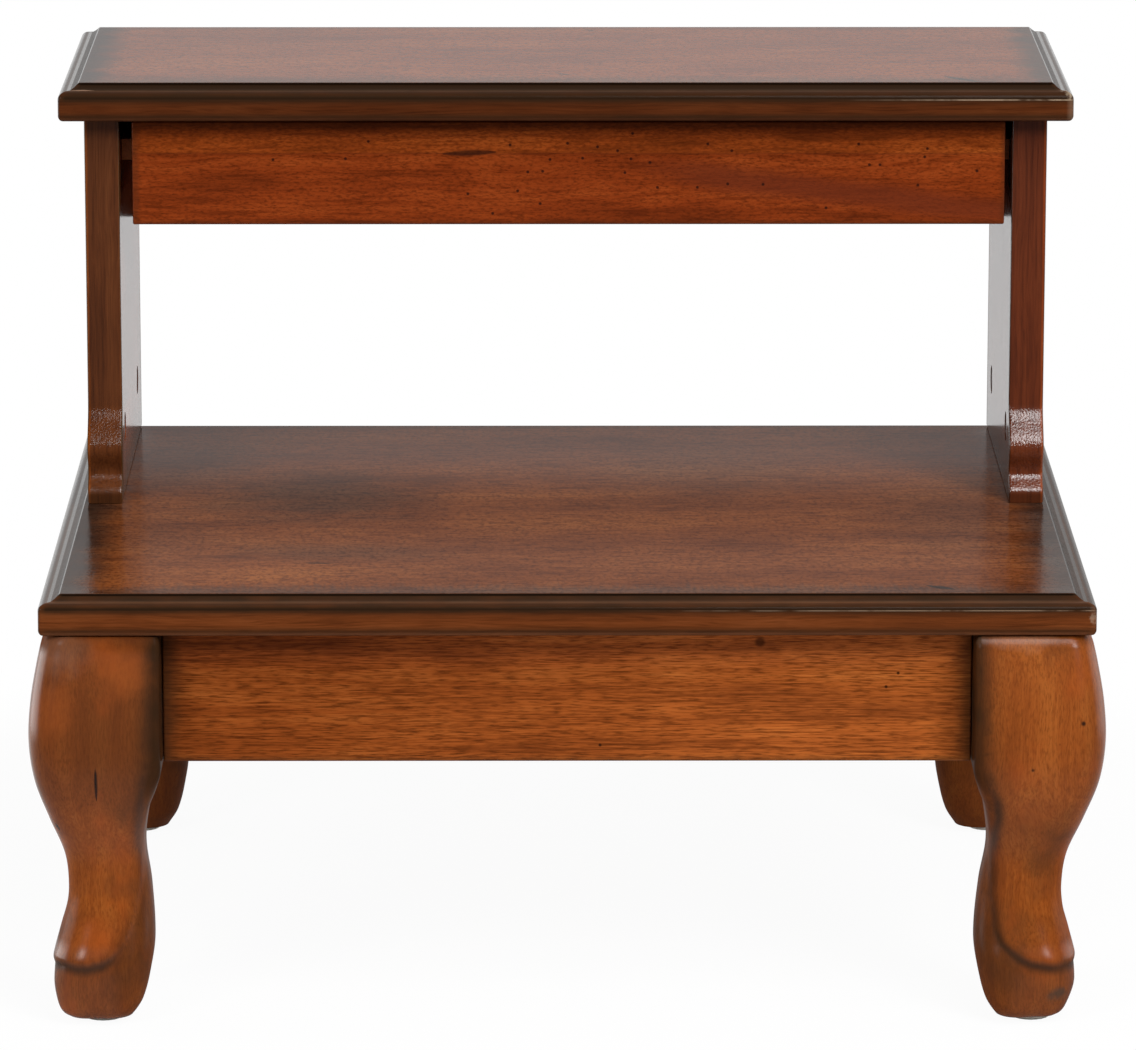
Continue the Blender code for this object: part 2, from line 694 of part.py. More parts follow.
def leg_mesh(side, end):
    """A loft of rounded sections from the foot to the top of the post."""
    bm = bmesh.new()
    rings = []
    for i in range(LEG_RINGS + 1):
        height = LEG_BASE + LEG_HEIGHT * i / LEG_RINGS
        section = leg_section(height)
        rings.append([bm.verts.new((-side * a, -end * b, height)) for a, b in section])
    for lower, upper in zip(rings, rings[1:]):
        for i, vert in enumerate(lower):
            bm.faces.new((vert, lower[i - 1], upper[i - 1], upper[i]))
    bm.faces.new(rings[0])
    bm.faces.new(rings[-1])
    mesh = mesh_of(bm, "leg")
    mesh.shade_smooth()
    mesh.set_sharp_from_angle(angle=math.radians(40))
    return mesh


def build_legs():
    for label, (side, end) in CORNERS.items():
        corner = (side * HALF_WIDTH, end * HALF_DEPTH, 0)
        leg = add(f"leg_{label}", leg_mesh(side, end), "leg_stain", corner, parent=STOOL)
        middle = (side * (HALF_WIDTH - GLIDE_INSET), end * (HALF_DEPTH - GLIDE_INSET), 0)
        top = GLIDE - GAP
        profile = (
            (0, top + NAIL), (NAIL_RADIUS, top + NAIL), (NAIL_RADIUS, top), (GLIDE_RADIUS, top),
            (GLIDE_RADIUS, EASE), (GLIDE_RADIUS - EASE, 0), (0, 0),
        )
        add(f"foot_glide_{label}", turned_mesh(profile, CAM_STEPS), "glide_plastic", middle, parent=STOOL)
        nail_bore = cutter(rod_mesh(NAIL_RADIUS + GAP, 0, top + NAIL + GAP), middle)
        cut(leg, nail_bore, *LEG_BORES[label])


STOOL = empty("step_stool_origin", (0, 0, 0))
BOLT_BORES = {"lower": [], "upper": []}
TREAD_SCREW_BORES = []
RAIL_HOUSINGS = {}
RUNNER_SCREW_BORES = {sign: [] for sign in SIDES.values()}
LEG_BORES = {label: [] for label in CORNERS}

build_rail()
build_runners()
build_panels()
build_drawer()
build_aprons()
for corner_label, (corner_side, corner_end) in CORNERS.items():
    build_corner(corner_label, corner_side, corner_end)
build_legs()
build_treads()
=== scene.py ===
import math

import bmesh
import bpy
from mathutils import Matrix, Vector


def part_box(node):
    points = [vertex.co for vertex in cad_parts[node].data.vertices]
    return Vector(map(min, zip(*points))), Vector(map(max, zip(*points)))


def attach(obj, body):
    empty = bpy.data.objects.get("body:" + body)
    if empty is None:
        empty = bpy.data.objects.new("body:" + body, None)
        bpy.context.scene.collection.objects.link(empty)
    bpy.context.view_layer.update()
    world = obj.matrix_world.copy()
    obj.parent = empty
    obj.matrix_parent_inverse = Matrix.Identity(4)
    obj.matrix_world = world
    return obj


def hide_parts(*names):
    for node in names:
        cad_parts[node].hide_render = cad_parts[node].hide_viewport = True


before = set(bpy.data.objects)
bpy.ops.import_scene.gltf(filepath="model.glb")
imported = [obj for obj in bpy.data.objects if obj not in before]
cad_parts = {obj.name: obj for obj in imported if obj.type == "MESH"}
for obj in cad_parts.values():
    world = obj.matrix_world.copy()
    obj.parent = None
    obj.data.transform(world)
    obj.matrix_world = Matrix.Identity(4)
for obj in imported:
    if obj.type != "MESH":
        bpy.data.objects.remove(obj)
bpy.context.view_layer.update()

# Moulded edge of the treads, in metres
BOARD = 0.019
BEVEL_WIDTH, FILLET_WIDTH, OVOLO_WIDTH = 0.0042, 0.0012, 0.0046
BEVEL_DROP = {"upper_tread": 0.0034, "lower_tread": 0.003}
BEVEL_GLAZE = {"upper_tread": 1.08, "lower_tread": 0.94}
OVOLO_DROP = {"upper_tread": 0.0041, "lower_tread": 0.0032}
TOP_SANDED = {"upper_tread": 0.0006, "lower_tread": 0.0}
LOWER_ROUND = 0.003
# How far from a corner the wear of the corner ends
CORNER_WEAR = 0.0022

# Ogee foot of the side panels: how far its parts stand forward of the panel, and their heights
FOOT_REACH, FOOT_STEM, FOOT_RISE = 0.0125, 0.0045, 0.0098
RECESS_REACH, RECESS_RISE = 0.006, 0.013
NOSE_REACH, CYMA_HEIGHT = 0.011, 0.021
PANEL_EASE = 0.0012

# Cabriole legs: insets from the tread's edges at shares of the leg's height
LEG_POST = 0.058
LEG_OUTER = (
    (0.0, 0.0105), (0.01, 0.008), (0.025, 0.0062), (0.054, 0.0049), (0.098, 0.0041), (0.145, 0.0041),
    (0.204, 0.007), (0.263, 0.0101), (0.325, 0.0115), (0.413, 0.0099), (0.516, 0.003),
    (0.62, -0.0034), (0.723, -0.0059), (0.826, -0.0048), (0.929, -0.0014), (1.0, 0.0018),
)
LEG_INNER = (
    (0.0, 0.0425), (0.07, 0.0478), (0.18, 0.0515), (0.29, 0.0532), (0.5, 0.0519), (0.68, 0.0495),
    (0.84, 0.0518), (0.93, 0.0556), (1.0, LEG_POST), (1.1, LEG_POST),
)
KNEE_ROUND = ((0.0, 0.01), (0.1, 0.017), (0.3, 0.017), (0.5, 0.016), (0.75, 0.015), (1.0, 0.012))
SIDE_ROUND = ((0.0, 0.012), (0.1, 0.016), (0.35, 0.016), (0.55, 0.011), (0.68, 0.0035), (1.0, 0.003))
BACK_ROUND = ((0.0, 0.012), (0.1, 0.018), (0.35, 0.017), (0.6, 0.014), (0.7, 0.011), (1.0, 0.011))
# Outline carved on the legs' outer faces, from the toe up: distance from the knee's ridge, height, strength
OUTLINES = {
    "left": (
        (0.0, 0.034, 0.8), (0.0015, 0.033, 0.8), (0.006, 0.0306, 0.9), (0.0116, 0.0293, 1.0),
        (0.0181, 0.0294, 1.0), (0.0246, 0.0309, 1.0), (0.0288, 0.0338, 0.9), (0.0312, 0.0378, 0.7),
        (0.0319, 0.0417, 0.5), (0.0328, 0.0487, 0.3), (0.0338, 0.0606, 0.3), (0.0361, 0.0732, 0.35),
        (0.039, 0.0891, 0.65), (0.0444, 0.1029, 0.75), (0.051, 0.1193, 0.85), (0.0545, 0.1298, 0.85),
        (0.0565, 0.1401, 0.85), (0.0575, 0.1573, 0.85), (0.0555, 0.1764, 0.85), (0.053, 0.1906, 0.85),
        (0.052, 0.2, 0.85),
    ),
    "right": (
        (0.0, 0.0335, 0.8), (0.0025, 0.0326, 0.8), (0.0069, 0.0293, 0.9), (0.0117, 0.0293, 1.0),
        (0.0166, 0.0302, 1.0), (0.0222, 0.031, 1.0), (0.0274, 0.0334, 1.0), (0.0314, 0.0374, 1.0),
        (0.0347, 0.0413, 1.0), (0.0357, 0.0468, 0.9), (0.0351, 0.0522, 0.8), (0.0349, 0.0603, 0.75),
        (0.0354, 0.0703, 0.75), (0.0369, 0.0789, 0.8), (0.039, 0.0878, 0.85), (0.0416, 0.097, 0.9),
        (0.0436, 0.1062, 0.9), (0.0478, 0.1153, 0.85), (0.0515, 0.1206, 0.8), (0.055, 0.1294, 0.8),
        (0.0572, 0.1397, 0.7), (0.058, 0.157, 0.7), (0.056, 0.1762, 0.7), (0.053, 0.1926, 0.7),
        (0.052, 0.2, 0.7),
    ),
}
# The outline's groove: its depth and how far it reaches above and below the outline. The toe swells over it
GROOVE_DEPTH, GROOVE_ABOVE, GROOVE_BELOW = 0.0009, 0.0024, 0.0065
TOE_SWELL = 0.0008
# How far the feet stand to one side of the knees, and how much the outer corner of the foot is rounded off
LEG_LEAN = {"left": -0.0004, "right": -0.0022}
FOOT_TRIM = {"left": 0.0008, "right": 0.0028}
# The legs' rounded top edge: its height, how fast it draws in, and its gloss
LEG_TOP_HEIGHT = {"left": 0.0045, "right": 0.006}
LEG_TOP_DRAW = 55.0
LEG_TOP_GLOSS = {"left": 0.1, "right": 0.65}
REAR_GLOSS = 0.3
# How dark the glaze is along the legs' inner edges and in the outline
EDGE_GLAZE, OUTLINE_GLAZE = 0.88, 0.86

# The floor's half axes and the middle of its oval
FLOOR_HALF, FLOOR_MIDDLE = (0.8, 0.52), (0.0, 0.06)

# Room round a piece that lies in another, and the radius of the worm holes
ROOM, WORM_HOLE = 0.0003, 0.0007

SIDES = {"left": -1, "right": 1}
ENDS = {"front": -1, "rear": 1}


# Shader nodes


class Net:
    """Short names for the nodes of one material or world."""

    def __init__(self, owner):
        owner.use_nodes = True
        self.tree = owner.node_tree
        self.tree.nodes.clear()

    def node(self, kind, inputs, **settings):
        made = self.tree.nodes.new(kind)
        for name, value in settings.items():
            setattr(made, name, value)
        for key, value in inputs.items():
            if isinstance(value, bpy.types.NodeSocket):
                self.tree.links.new(value, made.inputs[key])
            else:
                made.inputs[key].default_value = value
        return made

    def math(self, operation, *values, clamp=False):
        inputs = dict(enumerate(values))
        return self.node("ShaderNodeMath", inputs, operation=operation, use_clamp=clamp).outputs[0]

    def fold(self, operation, values):
        """One operation over all the values, from the first to the last."""
        made = values[0]
        for value in values[1:]:
            made = self.math(operation, made, value)
        return made

    def add(self, *values):
        return self.fold("ADD", values)

    def sub(self, a, b):
        return self.math("SUBTRACT", a, b)

    def mul(self, *values):
        return self.fold("MULTIPLY", values)

    def most(self, *values):
        return self.fold("MAXIMUM", values)

    def least(self, *values):
        return self.fold("MINIMUM", values)

    def step(self, value, start, end):
        """0 at start and 1 at end, smooth between them, whichever of the two is larger."""
        inputs = {"Value": value, "From Min": start, "From Max": end}
        made = self.node("ShaderNodeMapRange", inputs, interpolation_type="SMOOTHSTEP")
        return made.outputs["Result"]

    def place(self):
        return self.node("ShaderNodeTexCoord", {}).outputs["Object"]

    def split(self, vector):
        return self.node("ShaderNodeSeparateXYZ", {0: vector}).outputs

    def join(self, x, y, z):
        return self.node("ShaderNodeCombineXYZ", {0: x, 1: y, 2: z}).outputs[0]

    def vector(self, operation, *values):
        made = self.node("ShaderNodeVectorMath", dict(enumerate(values)), operation=operation)
        return made.outputs["Value" if operation in ("DISTANCE", "DOT_PRODUCT") else "Vector"]

    def noise(self, place, scale, shift=0.0, detail=3.0, roughness=0.55):
        """Noise in 0 to 1 whose scale is in waves a metre along each axis."""
        spot = self.node(
            "ShaderNodeVectorMath",
            {0: place, 1: scale, 2: (shift, shift * 1.7, shift * 2.3)},
            operation="MULTIPLY_ADD",
        ).outputs["Vector"]
        inputs = {"Vector": spot, "Scale": 1.0, "Detail": detail, "Roughness": roughness}
        return self.node("ShaderNodeTexNoise", inputs).outputs["Fac"]

    def jitter(self, place, scale, shift, detail, size):
        """Noise about 0, its full span the given size."""
        return self.mul(self.sub(self.noise(place, scale, shift, detail), 0.5), size)

    def mix(self, share, first, second, blend="MIX"):
        inputs = {0: share, 6: first, 7: second}
        made = self.node("ShaderNodeMix", inputs, data_type="RGBA", blend_type=blend)
        return made.outputs[2]

    def paint(self, share, colour, over, strength=None):
        return self.mix(self.mul(share, strength) if strength else share, colour, rgba(over))

    def stain(self, share, colour, factors):
        return self.mix(share, colour, rgba(factors), blend="MULTIPLY")

    def ramp(self, value, *stops):
        made = self.node("ShaderNodeValToRGB", {"Fac": value})
        points = made.color_ramp.elements
        while len(points) < len(stops):
            points.new(1.0)
        for point, (at, colour) in zip(points, stops):
            point.position = at
            point.color = rgba(colour)
        return made.outputs["Color"]

    def attribute(self, name):
        return self.node("ShaderNodeAttribute", {}, attribute_name=name).outputs["Fac"]

    def dot(self, place, centre, radius):
        away = self.vector("DISTANCE", place, centre)
        return self.step(away, radius * 1.5, radius * 0.6)

    def stroke(self, place, start, end, radius):
        """A mark along a straight line, widest at its middle and pointed at its ends."""
        start, end = Vector(start), Vector(end)
        line = end - start
        from_start = self.vector("SUBTRACT", place, start)
        along = self.vector("DOT_PRODUCT", from_start, line / line.length_squared)
        along = self.math("ADD", along, 0.0, clamp=True)
        on_line = self.node("ShaderNodeVectorMath", {0: line, "Scale": along}, operation="SCALE").outputs[0]
        away = self.vector("DISTANCE", from_start, on_line)
        taper = self.mul(along, self.sub(1.0, along), 4.0 * radius)
        return self.step(away, self.add(taper, radius * 0.45), self.mul(taper, 0.5))

    def surface(self, shader):
        self.node("ShaderNodeOutputMaterial", {"Surface": shader.outputs[0]})


def rgba(colour):
    return (*colour, 1.0)


def tint(colour, factor):
    return rgba([c * factor for c in colour])


WAY = {"x": (0, 1, 2), "y": (1, 2, 0), "z": (2, 0, 1)}


def wood(name, dark, mid, light, along="x", seed=0.0, pores=0.5, fleck=(70, 1300, 1300), streaks=0.5,
         line=(20, 760, 760), band=(4, 110, 110), waver=0.01, gloss=0.5, gloss_roughness=0.16,
         gloss_index=1.5, relief=0.3, dress=None, grit=None):
    """Stained and lacquered wood, its grain along one axis of the model.

    dress(net, place, colour) adds what one piece has of its own, such as glaze, rubbed edges and marks,
    and gives the colour and, where the lacquer's gloss varies, its weight. grit(net, place) roughens the
    lacquer.
    """
    material = bpy.data.materials.new(name)
    net = Net(material)
    place = net.place()
    axes = net.split(place)
    grain = net.join(*(axes[i] for i in WAY[along]))

    lift = net.jitter(grain, (9, 45, 45), seed, 2, waver)
    grain = net.vector("ADD", grain, net.join(0.0, lift, lift))
    bands = net.noise(grain, band, seed + 3, detail=4)
    lines = net.noise(grain, line, seed + 5, detail=3, roughness=0.6)
    cloud = net.noise(place, (16, 16, 16), seed + 9, detail=3)
    value = net.add(net.mul(bands, 0.45), net.mul(cloud, 0.25), net.mul(lines, 0.3))
    spread = 0.13
    colour = net.ramp(value, (0.5 - spread, dark), (0.5, mid), (0.5 + spread, light))
    streak = net.step(lines, 0.47, 0.33)
    colour = net.mix(net.mul(streak, streaks), colour, tint(dark, 0.6))
    pore = net.step(net.noise(grain, fleck, seed + 13, detail=3), 0.4, 0.74)
    colour = net.mix(net.mul(pore, pores), colour, tint(dark, 0.62))
    weight = None
    if dress:
        colour, weight = dress(net, place, colour)

    height = net.sub(net.mul(lines, 0.5), net.mul(pore, 0.8))
    inputs = {"Height": height, "Strength": relief, "Distance": 0.0001}
    bump = net.node("ShaderNodeBump", inputs).outputs["Normal"]
    coat = bump
    if grit:
        inputs = {"Height": grit(net, place), "Strength": 1.0, "Distance": 0.0003, "Normal": bump}
        coat = net.node("ShaderNodeBump", inputs).outputs["Normal"]
    shader = net.node("ShaderNodeBsdfPrincipled", {
        "Base Color": colour, "Roughness": 0.5, "Specular IOR Level": 0.0,
        "Coat Weight": gloss if weight is None else weight,
        "Coat Roughness": gloss_roughness, "Coat IOR": gloss_index,
        "Normal": bump, "Coat Normal": coat,
    })
    net.surface(shader)
    return material


# Shapes


def smooth_value(points, at):
    """The value at a place on a smooth curve through (place, value) points."""
    places, values = zip(*points)
    if at <= places[0]:
        return values[0]
    if at >= places[-1]:
        return values[-1]
    last = len(points) - 1
    i = max(k for k in range(last) if places[k] <= at)

    def slope(k):
        before, after = max(k - 1, 0), min(k + 1, last)
        return (values[after] - values[before]) / (places[after] - places[before])

    span = places[i + 1] - places[i]
    t = (at - places[i]) / span
    start = values[i] * (1 + 2 * t) * (1 - t) ** 2 + slope(i) * span * t * (1 - t) ** 2
    return start + values[i + 1] * t * t * (3 - 2 * t) + slope(i + 1) * span * t * t * (t - 1)


def ramp_up(value, start, end):
    """0 at start and 1 at end, smooth between them, whichever of the two is larger."""
    t = min(max((value - start) / (end - start), 0.0), 1.0)
    return t * t * (3 - 2 * t)


def mesh_of(bm, name):
    mesh = bpy.data.meshes.new(name)
    bm.to_mesh(mesh)
    bm.free()
    return mesh


def placed(name, data):
    """A new object in the scene."""
    obj = bpy.data.objects.new(name, data)
    bpy.context.scene.collection.objects.link(obj)
    return obj


def box_of(low, high):
    bm = bmesh.new()
    size = Matrix.Diagonal((*(high - low), 1.0))
    bmesh.ops.create_cube(bm, matrix=Matrix.Translation((low + high) / 2) @ size)
    return bm


def arc(centre, half_axes, start, end, steps):
    angles = [math.radians(start + (end - start) * i / steps) for i in range(steps + 1)]
    return [
        (centre[0] + half_axes[0] * math.cos(angle), centre[1] + half_axes[1] * math.sin(angle))
        for angle in angles
    ]


def solid_of(rings, traits):
    """A closed mesh from rings of points, with the named traits of each point as float layers."""
    bm = bmesh.new()
    layers = {name: bm.verts.layers.float.new(name) for name in traits}
    made = []
    for r, ring in enumerate(rings):
        row = []
        for p, point in enumerate(ring):
            vert = bm.verts.new(point)
            for name, layer in layers.items():
                vert[layer] = traits[name][r][p]
            row.append(vert)
        made.append(row)
    for lower, upper in zip(made, made[1:]):
        for i, vert in enumerate(lower):
            bm.faces.new((vert, lower[i - 1], upper[i - 1], upper[i]))
    bm.faces.new(made[0])
    bm.faces.new(made[-1])
    bmesh.ops.recalc_face_normals(bm, faces=bm.faces)
    return mesh_of(bm, "solid")


def bake_modifiers(obj):
    graph = bpy.context.evaluated_depsgraph_get()
    obj.data = bpy.data.meshes.new_from_object(obj.evaluated_get(graph))
    obj.modifiers.clear()


def settle(obj, sharp):
    """Bakes the modifiers, then smooths the faces so that flats stay flat beside rounded edges."""
    bake_modifiers(obj)
    obj.data.shade_smooth()
    obj.data.set_sharp_from_angle(angle=math.radians(sharp))
    weigh = obj.modifiers.new("weigh", "WEIGHTED_NORMAL")
    weigh.mode = "FACE_AREA"
    weigh.weight = 60
    weigh.keep_sharp = True
    bake_modifiers(obj)


def cover(obj, material):
    obj.data.materials.clear()
    obj.data.materials.append(material)


def piece(name, mesh, material, node, body="stool", tools=(), sharp=40):
    """A finer piece in the place of one CAD node."""
    obj = placed(name, mesh)
    for tool in tools:
        cut = obj.modifiers.new("cut", "BOOLEAN")
        cut.operation = "DIFFERENCE"
        cut.solver = "EXACT"
        cut.object = tool
    settle(obj, sharp)
    for tool in tools:
        bpy.data.objects.remove(tool)
    cover(obj, material)
    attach(obj, body)
    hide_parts(node)
    return obj


def tool_around(node, above=0.0):
    """A cutter that leaves room round a node, and more above it."""
    low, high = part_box(node)
    room = Vector((ROOM, ROOM, ROOM))
    box = box_of(low - room, high + room + Vector((0, 0, above)))
    return placed("tool", mesh_of(box, "tool"))


def tool_rod(centre, radius, length):
    """A round cutter that lies across the stool."""
    bm = bmesh.new()
    turn = Vector((1, 0, 0)).to_track_quat("Z", "Y").to_matrix().to_4x4()
    bmesh.ops.create_cone(
        bm, cap_ends=True, segments=40, radius1=radius, radius2=radius, depth=length,
        matrix=Matrix.Translation(centre) @ turn,
    )
    return placed("tool", mesh_of(bm, "tool"))


# Treads


def tread_profile(node):
    """Points of the moulded edge from the underside to the top.

    Each has its inset, drop, glaze, the painted highlight along the ovolo's lower edge, painted highlight
    lines and the gloss of the tread's ends.
    """
    bevel_drop, ovolo_drop = BEVEL_DROP[node], OVOLO_DROP[node]
    face_top = bevel_drop + ovolo_drop
    bevel_foot = OVOLO_WIDTH + FILLET_WIDTH
    arris = bevel_foot + BEVEL_WIDTH
    lower = arc((LOWER_ROUND, BOARD - LOWER_ROUND), (LOWER_ROUND, LOWER_ROUND), 90, 180, 8)
    ovolo = arc((OVOLO_WIDTH, face_top), (OVOLO_WIDTH, ovolo_drop), 180, 270, 12)
    points = [(LOWER_ROUND + 0.004, BOARD, 0.5, 0.0, 0.0, 0.3)]
    # The fifth value marks painted highlight lines: along the lower round, at the ovolo's top and at the
    # bevel's foot by the fillet. The fourth marks the painted highlight along the ovolo's lower edge.
    for i, (a, d) in enumerate(lower):
        bead = ramp_up(i, 1, 3) * ramp_up(i, 7, 5)
        points.append((a, d, 0.75 - 0.5 * bead, 0.0, 0.7 * bead, 0.4))
    points += [
        (0.0, BOARD - 0.0036, 0.5, 0.0, 0.0, 0.5), (0.0, BOARD - 0.0052, 0.05, 0.0, 0.0, 0.5),
        (0.0, face_top + 0.0042, 0.0, 0.0, 0.0, 0.6), (0.0, face_top + 0.0024, 0.22, 0.0, 0.0, 0.7),
        (0.0, face_top + 0.001, 0.65, 0.0, 0.0, 0.7), (0.0, face_top + 0.0004, 0.95, 0.0, 0.0, 0.8),
        (0.0, face_top + 0.0002, 0.85, 1.0, 0.0, 0.9),
    ]
    for i, (a, d) in enumerate(ovolo):
        top = ramp_up(i, 8, 11)
        dark = 0.9 if i == 0 else 1.1 - 0.24 * ramp_up(i, 2, 6) - 0.22 * top
        gloss = 1.1 - 0.62 * ramp_up(i, 6, 9.5) + 0.62 * ramp_up(i, 11, 12)
        points.append((a, d, dark, 1.0 if i == 0 else 0.0, top, gloss))
    for t in (0.0, 0.08, 0.16, 0.3, 0.45, 0.6, 0.72, 0.8, 0.88, 0.95):
        foot, head = ramp_up(t, 0.2, 0.0), ramp_up(t, 0.68, 0.9)
        drop = bevel_drop * (1 - t) * (1 + 0.4 * t)
        dark = BEVEL_GLAZE[node] - 0.1 * foot + 0.45 * head
        gloss = 0.4 + 0.72 * max(ramp_up(t, 0.1, 0.0), ramp_up(t, 0.84, 0.94))
        points.append((bevel_foot + BEVEL_WIDTH * t, drop, dark, 0.0, 0.8 * foot, gloss))
    points += [(arris + 0.0002, 0.0, 0.6, 0.0, 0.0, 1.1), (arris + 0.0009, 0.0, 0.3, 0.0, 0.0, 0.9)]
    points += [(arris + 0.004, 0.0, 0.0, 0.0, 0.0, 0.8)]
    return points


def board_ring(half_x, half_y, radius):
    """Points round a rectangle with eased corners, each with its nearness to a corner and to an end."""
    points = []
    for sx, sy, start in ((1, 1, 0), (-1, 1, 90), (-1, -1, 180), (1, -1, 270)):
        bend = arc((sx * (half_x - radius), sy * (half_y - radius)), (radius, radius), start, start + 90, 4)
        c, s = round(math.cos(math.radians(start))), round(math.sin(math.radians(start)))
        points.append((bend[0][0] + s * CORNER_WEAR, bend[0][1] - c * CORNER_WEAR, 0.0, abs(c)))
        for i, (x, y) in enumerate(bend):
            points.append((x, y, 1.0, math.cos(math.radians(start + 90 * i / 4)) ** 2))
        points.append((bend[-1][0] - c * CORNER_WEAR, bend[-1][1] - s * CORNER_WEAR, 0.0, abs(s)))
    return points


def tread(node, top_finish, edge_finish):
    low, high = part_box(node)
    middle = (low + high) / 2
    top = high.z - TOP_SANDED[node]
    rings, glaze, rub_and_highlight, line, shine = [], [], [], [], []
    for inset, drop, dark, edge_highlight, bright, gloss in tread_profile(node):
        radius = max(0.0016 - inset, 0.0003)
        ring = board_ring((high.x - low.x) / 2 - inset, (high.y - low.y) / 2 - inset, radius)
        height = high.z - BOARD + (BOARD - drop) * (top - high.z + BOARD) / BOARD
        rings.append([(middle.x + x, middle.y + y, height) for x, y, _, _ in ring])
        glaze.append([dark * (1 - 0.25 * near) for _, _, near, _ in ring])
        worn = 0.2 if 0.0 < drop < BOARD and inset < 0.006 else 0.0
        rub_and_highlight.append([max(edge_highlight, worn * near) for _, _, near, _ in ring])
        # painted highlight lines of the moulding
        line.append([bright for _ in ring])
        shine.append([end * gloss for _, _, _, end in ring])
    mesh = solid_of(rings, {"glaze": glaze, "rub_and_highlight": rub_and_highlight, "line": line, "shine": shine})
    board = piece(f"{node}_board", mesh, top_finish, node, sharp=70)
    board.data.materials.append(edge_finish)
    for face in board.data.polygons:
        face.material_index = 0 if face.center.z > top - 0.00001 else 1
    return board


# Side panels


def swing(start, end, steps=16):
    """Points of a double curve between two (front-to-rear, height) points, upright at both of them."""
    points = []
    for i in range(steps + 1):
        t = i / steps
        share = (1 - math.cos(math.pi * t)) / 2
        points.append((start[0] + (end[0] - start[0]) * share, start[1] + (end[1] - start[1]) * t))
    return points


def panel_outline(low, high):
    """(front-to-rear, height) points of a side panel, starting at the rear of its base."""
    front = low.y + FOOT_REACH
    foot_top = low.z + FOOT_STEM
    recess = (front - RECESS_REACH, foot_top + FOOT_RISE)
    nose = (front - NOSE_REACH, recess[1] + RECESS_RISE)
    points = [(high.y, low.z), (high.y, high.z), (front, high.z)]
    points += swing((front, nose[1] + CYMA_HEIGHT), nose)
    points += swing(nose, recess)[1:]
    points += swing(recess, (low.y, foot_top))[1:]
    points.append((low.y, low.z))
    return points


def inset_outline(points, by):
    """An outline moved inwards, its corners kept as mitres. The points run anticlockwise seen from +X."""
    moved = []
    count = len(points)
    for i, here in enumerate(points):
        before, after = Vector(points[i - 1]), Vector(points[(i + 1) % count])
        first = (Vector(here) - before).normalized()
        second = (after - Vector(here)).normalized()
        normals = [Vector((-first.y, first.x)), Vector((-second.y, second.x))]
        mitre = (normals[0] + normals[1]).normalized()
        reach = by / max(mitre.dot(normals[0]), 0.5)
        moved.append((here[0] + mitre.x * reach, here[1] + mitre.y * reach))
    return moved


def side_panel(side, material):
    node = f"side_panel_{side}"
    low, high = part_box(node)
    outline = panel_outline(low, high)
    half = (high.x - low.x) / 2
    turns = [i * 90 / 4 for i in range(5)]
    edge = [(PANEL_EASE * (1 - math.sin(math.radians(t))), PANEL_EASE * (1 - math.cos(math.radians(t))))
            for t in turns]
    profile = [(-half + off, by) for by, off in edge] + [(half - off, by) for by, off in reversed(edge)]
    rings, glaze = [], []
    for x, by in profile:
        ring = inset_outline(outline, by)
        rings.append([((low.x + high.x) / 2 + x, y, z) for y, z in ring])
        glaze.append([0.8 if by > 0.0001 else 0.15 for _ in ring])
    tools = []
    inner, way = (high.x, 1) if side == "left" else (low.x, -1)
    for level in ("lower", "upper"):
        for end in ENDS:
            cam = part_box(f"cam_lock_{level}_{side}_{end}")
            centre = (cam[0] + cam[1]) / 2
            radius = (cam[1].z - cam[0].z) / 2 + ROOM
            depth = abs(cam[1].x - cam[0].x) + 0.0016
            spot = (inner - way * (depth / 2 - 0.001), centre.y, centre.z)
            tools.append(tool_rod(spot, radius, depth))
    tools.append(tool_around("back_rail", 0.004))
    mesh = solid_of(rings, {"glaze": glaze})
    return piece(f"{node}_board", mesh, material, node, tools=tools)


# Legs


def leg_ring(height, base, head, apron_under):
    """(a, b) points round the leg at a height, insets from the tread's edges, and its outer inset."""
    share = (height - base) / (head - base)
    clear = (height - base) / (apron_under - base)
    outer = smooth_value(LEG_OUTER, share)
    inner = smooth_value(LEG_INNER, clear)
    knee, flank, back = (smooth_value(r, share) for r in (KNEE_ROUND, SIDE_ROUND, BACK_ROUND))
    corners = (
        (outer + knee, outer + knee, knee, 180),
        (inner - flank, outer + flank, flank, 270),
        (inner - back, inner - back, back, 0),
        (outer + flank, inner - flank, flank, 90),
    )
    bends = [arc((a, b), (radius, radius), start, start + 90, 20) for a, b, radius, start in corners]
    points = []
    for i, bend in enumerate(bends):
        points += bend
        start, end = bend[-1], bends[(i + 1) % 4][0]
        points += [(start[0] + (end[0] - start[0]) * k / 13, start[1] + (end[1] - start[1]) * k / 13)
                   for k in range(1, 13)]
    return points, outer


def outline_gap(outline, along, height):
    """How far inside the carved outline a point is, and the outline's strength at its nearest place."""
    nearest, inside, strength = math.inf, True, 0.0
    for (a0, z0, s0), (a1, z1, s1) in zip(outline, outline[1:]):
        da, dz = a1 - a0, z1 - z0
        pa, pz = along - a0, height - z0
        t = min(max((pa * da + pz * dz) / (da * da + dz * dz), 0.0), 1.0)
        away = math.hypot(pa - t * da, pz - t * dz)
        if away < nearest:
            nearest, inside, strength = away, da * pz >= dz * pa, s0 + (s1 - s0) * t
    return (nearest if inside else -nearest), strength


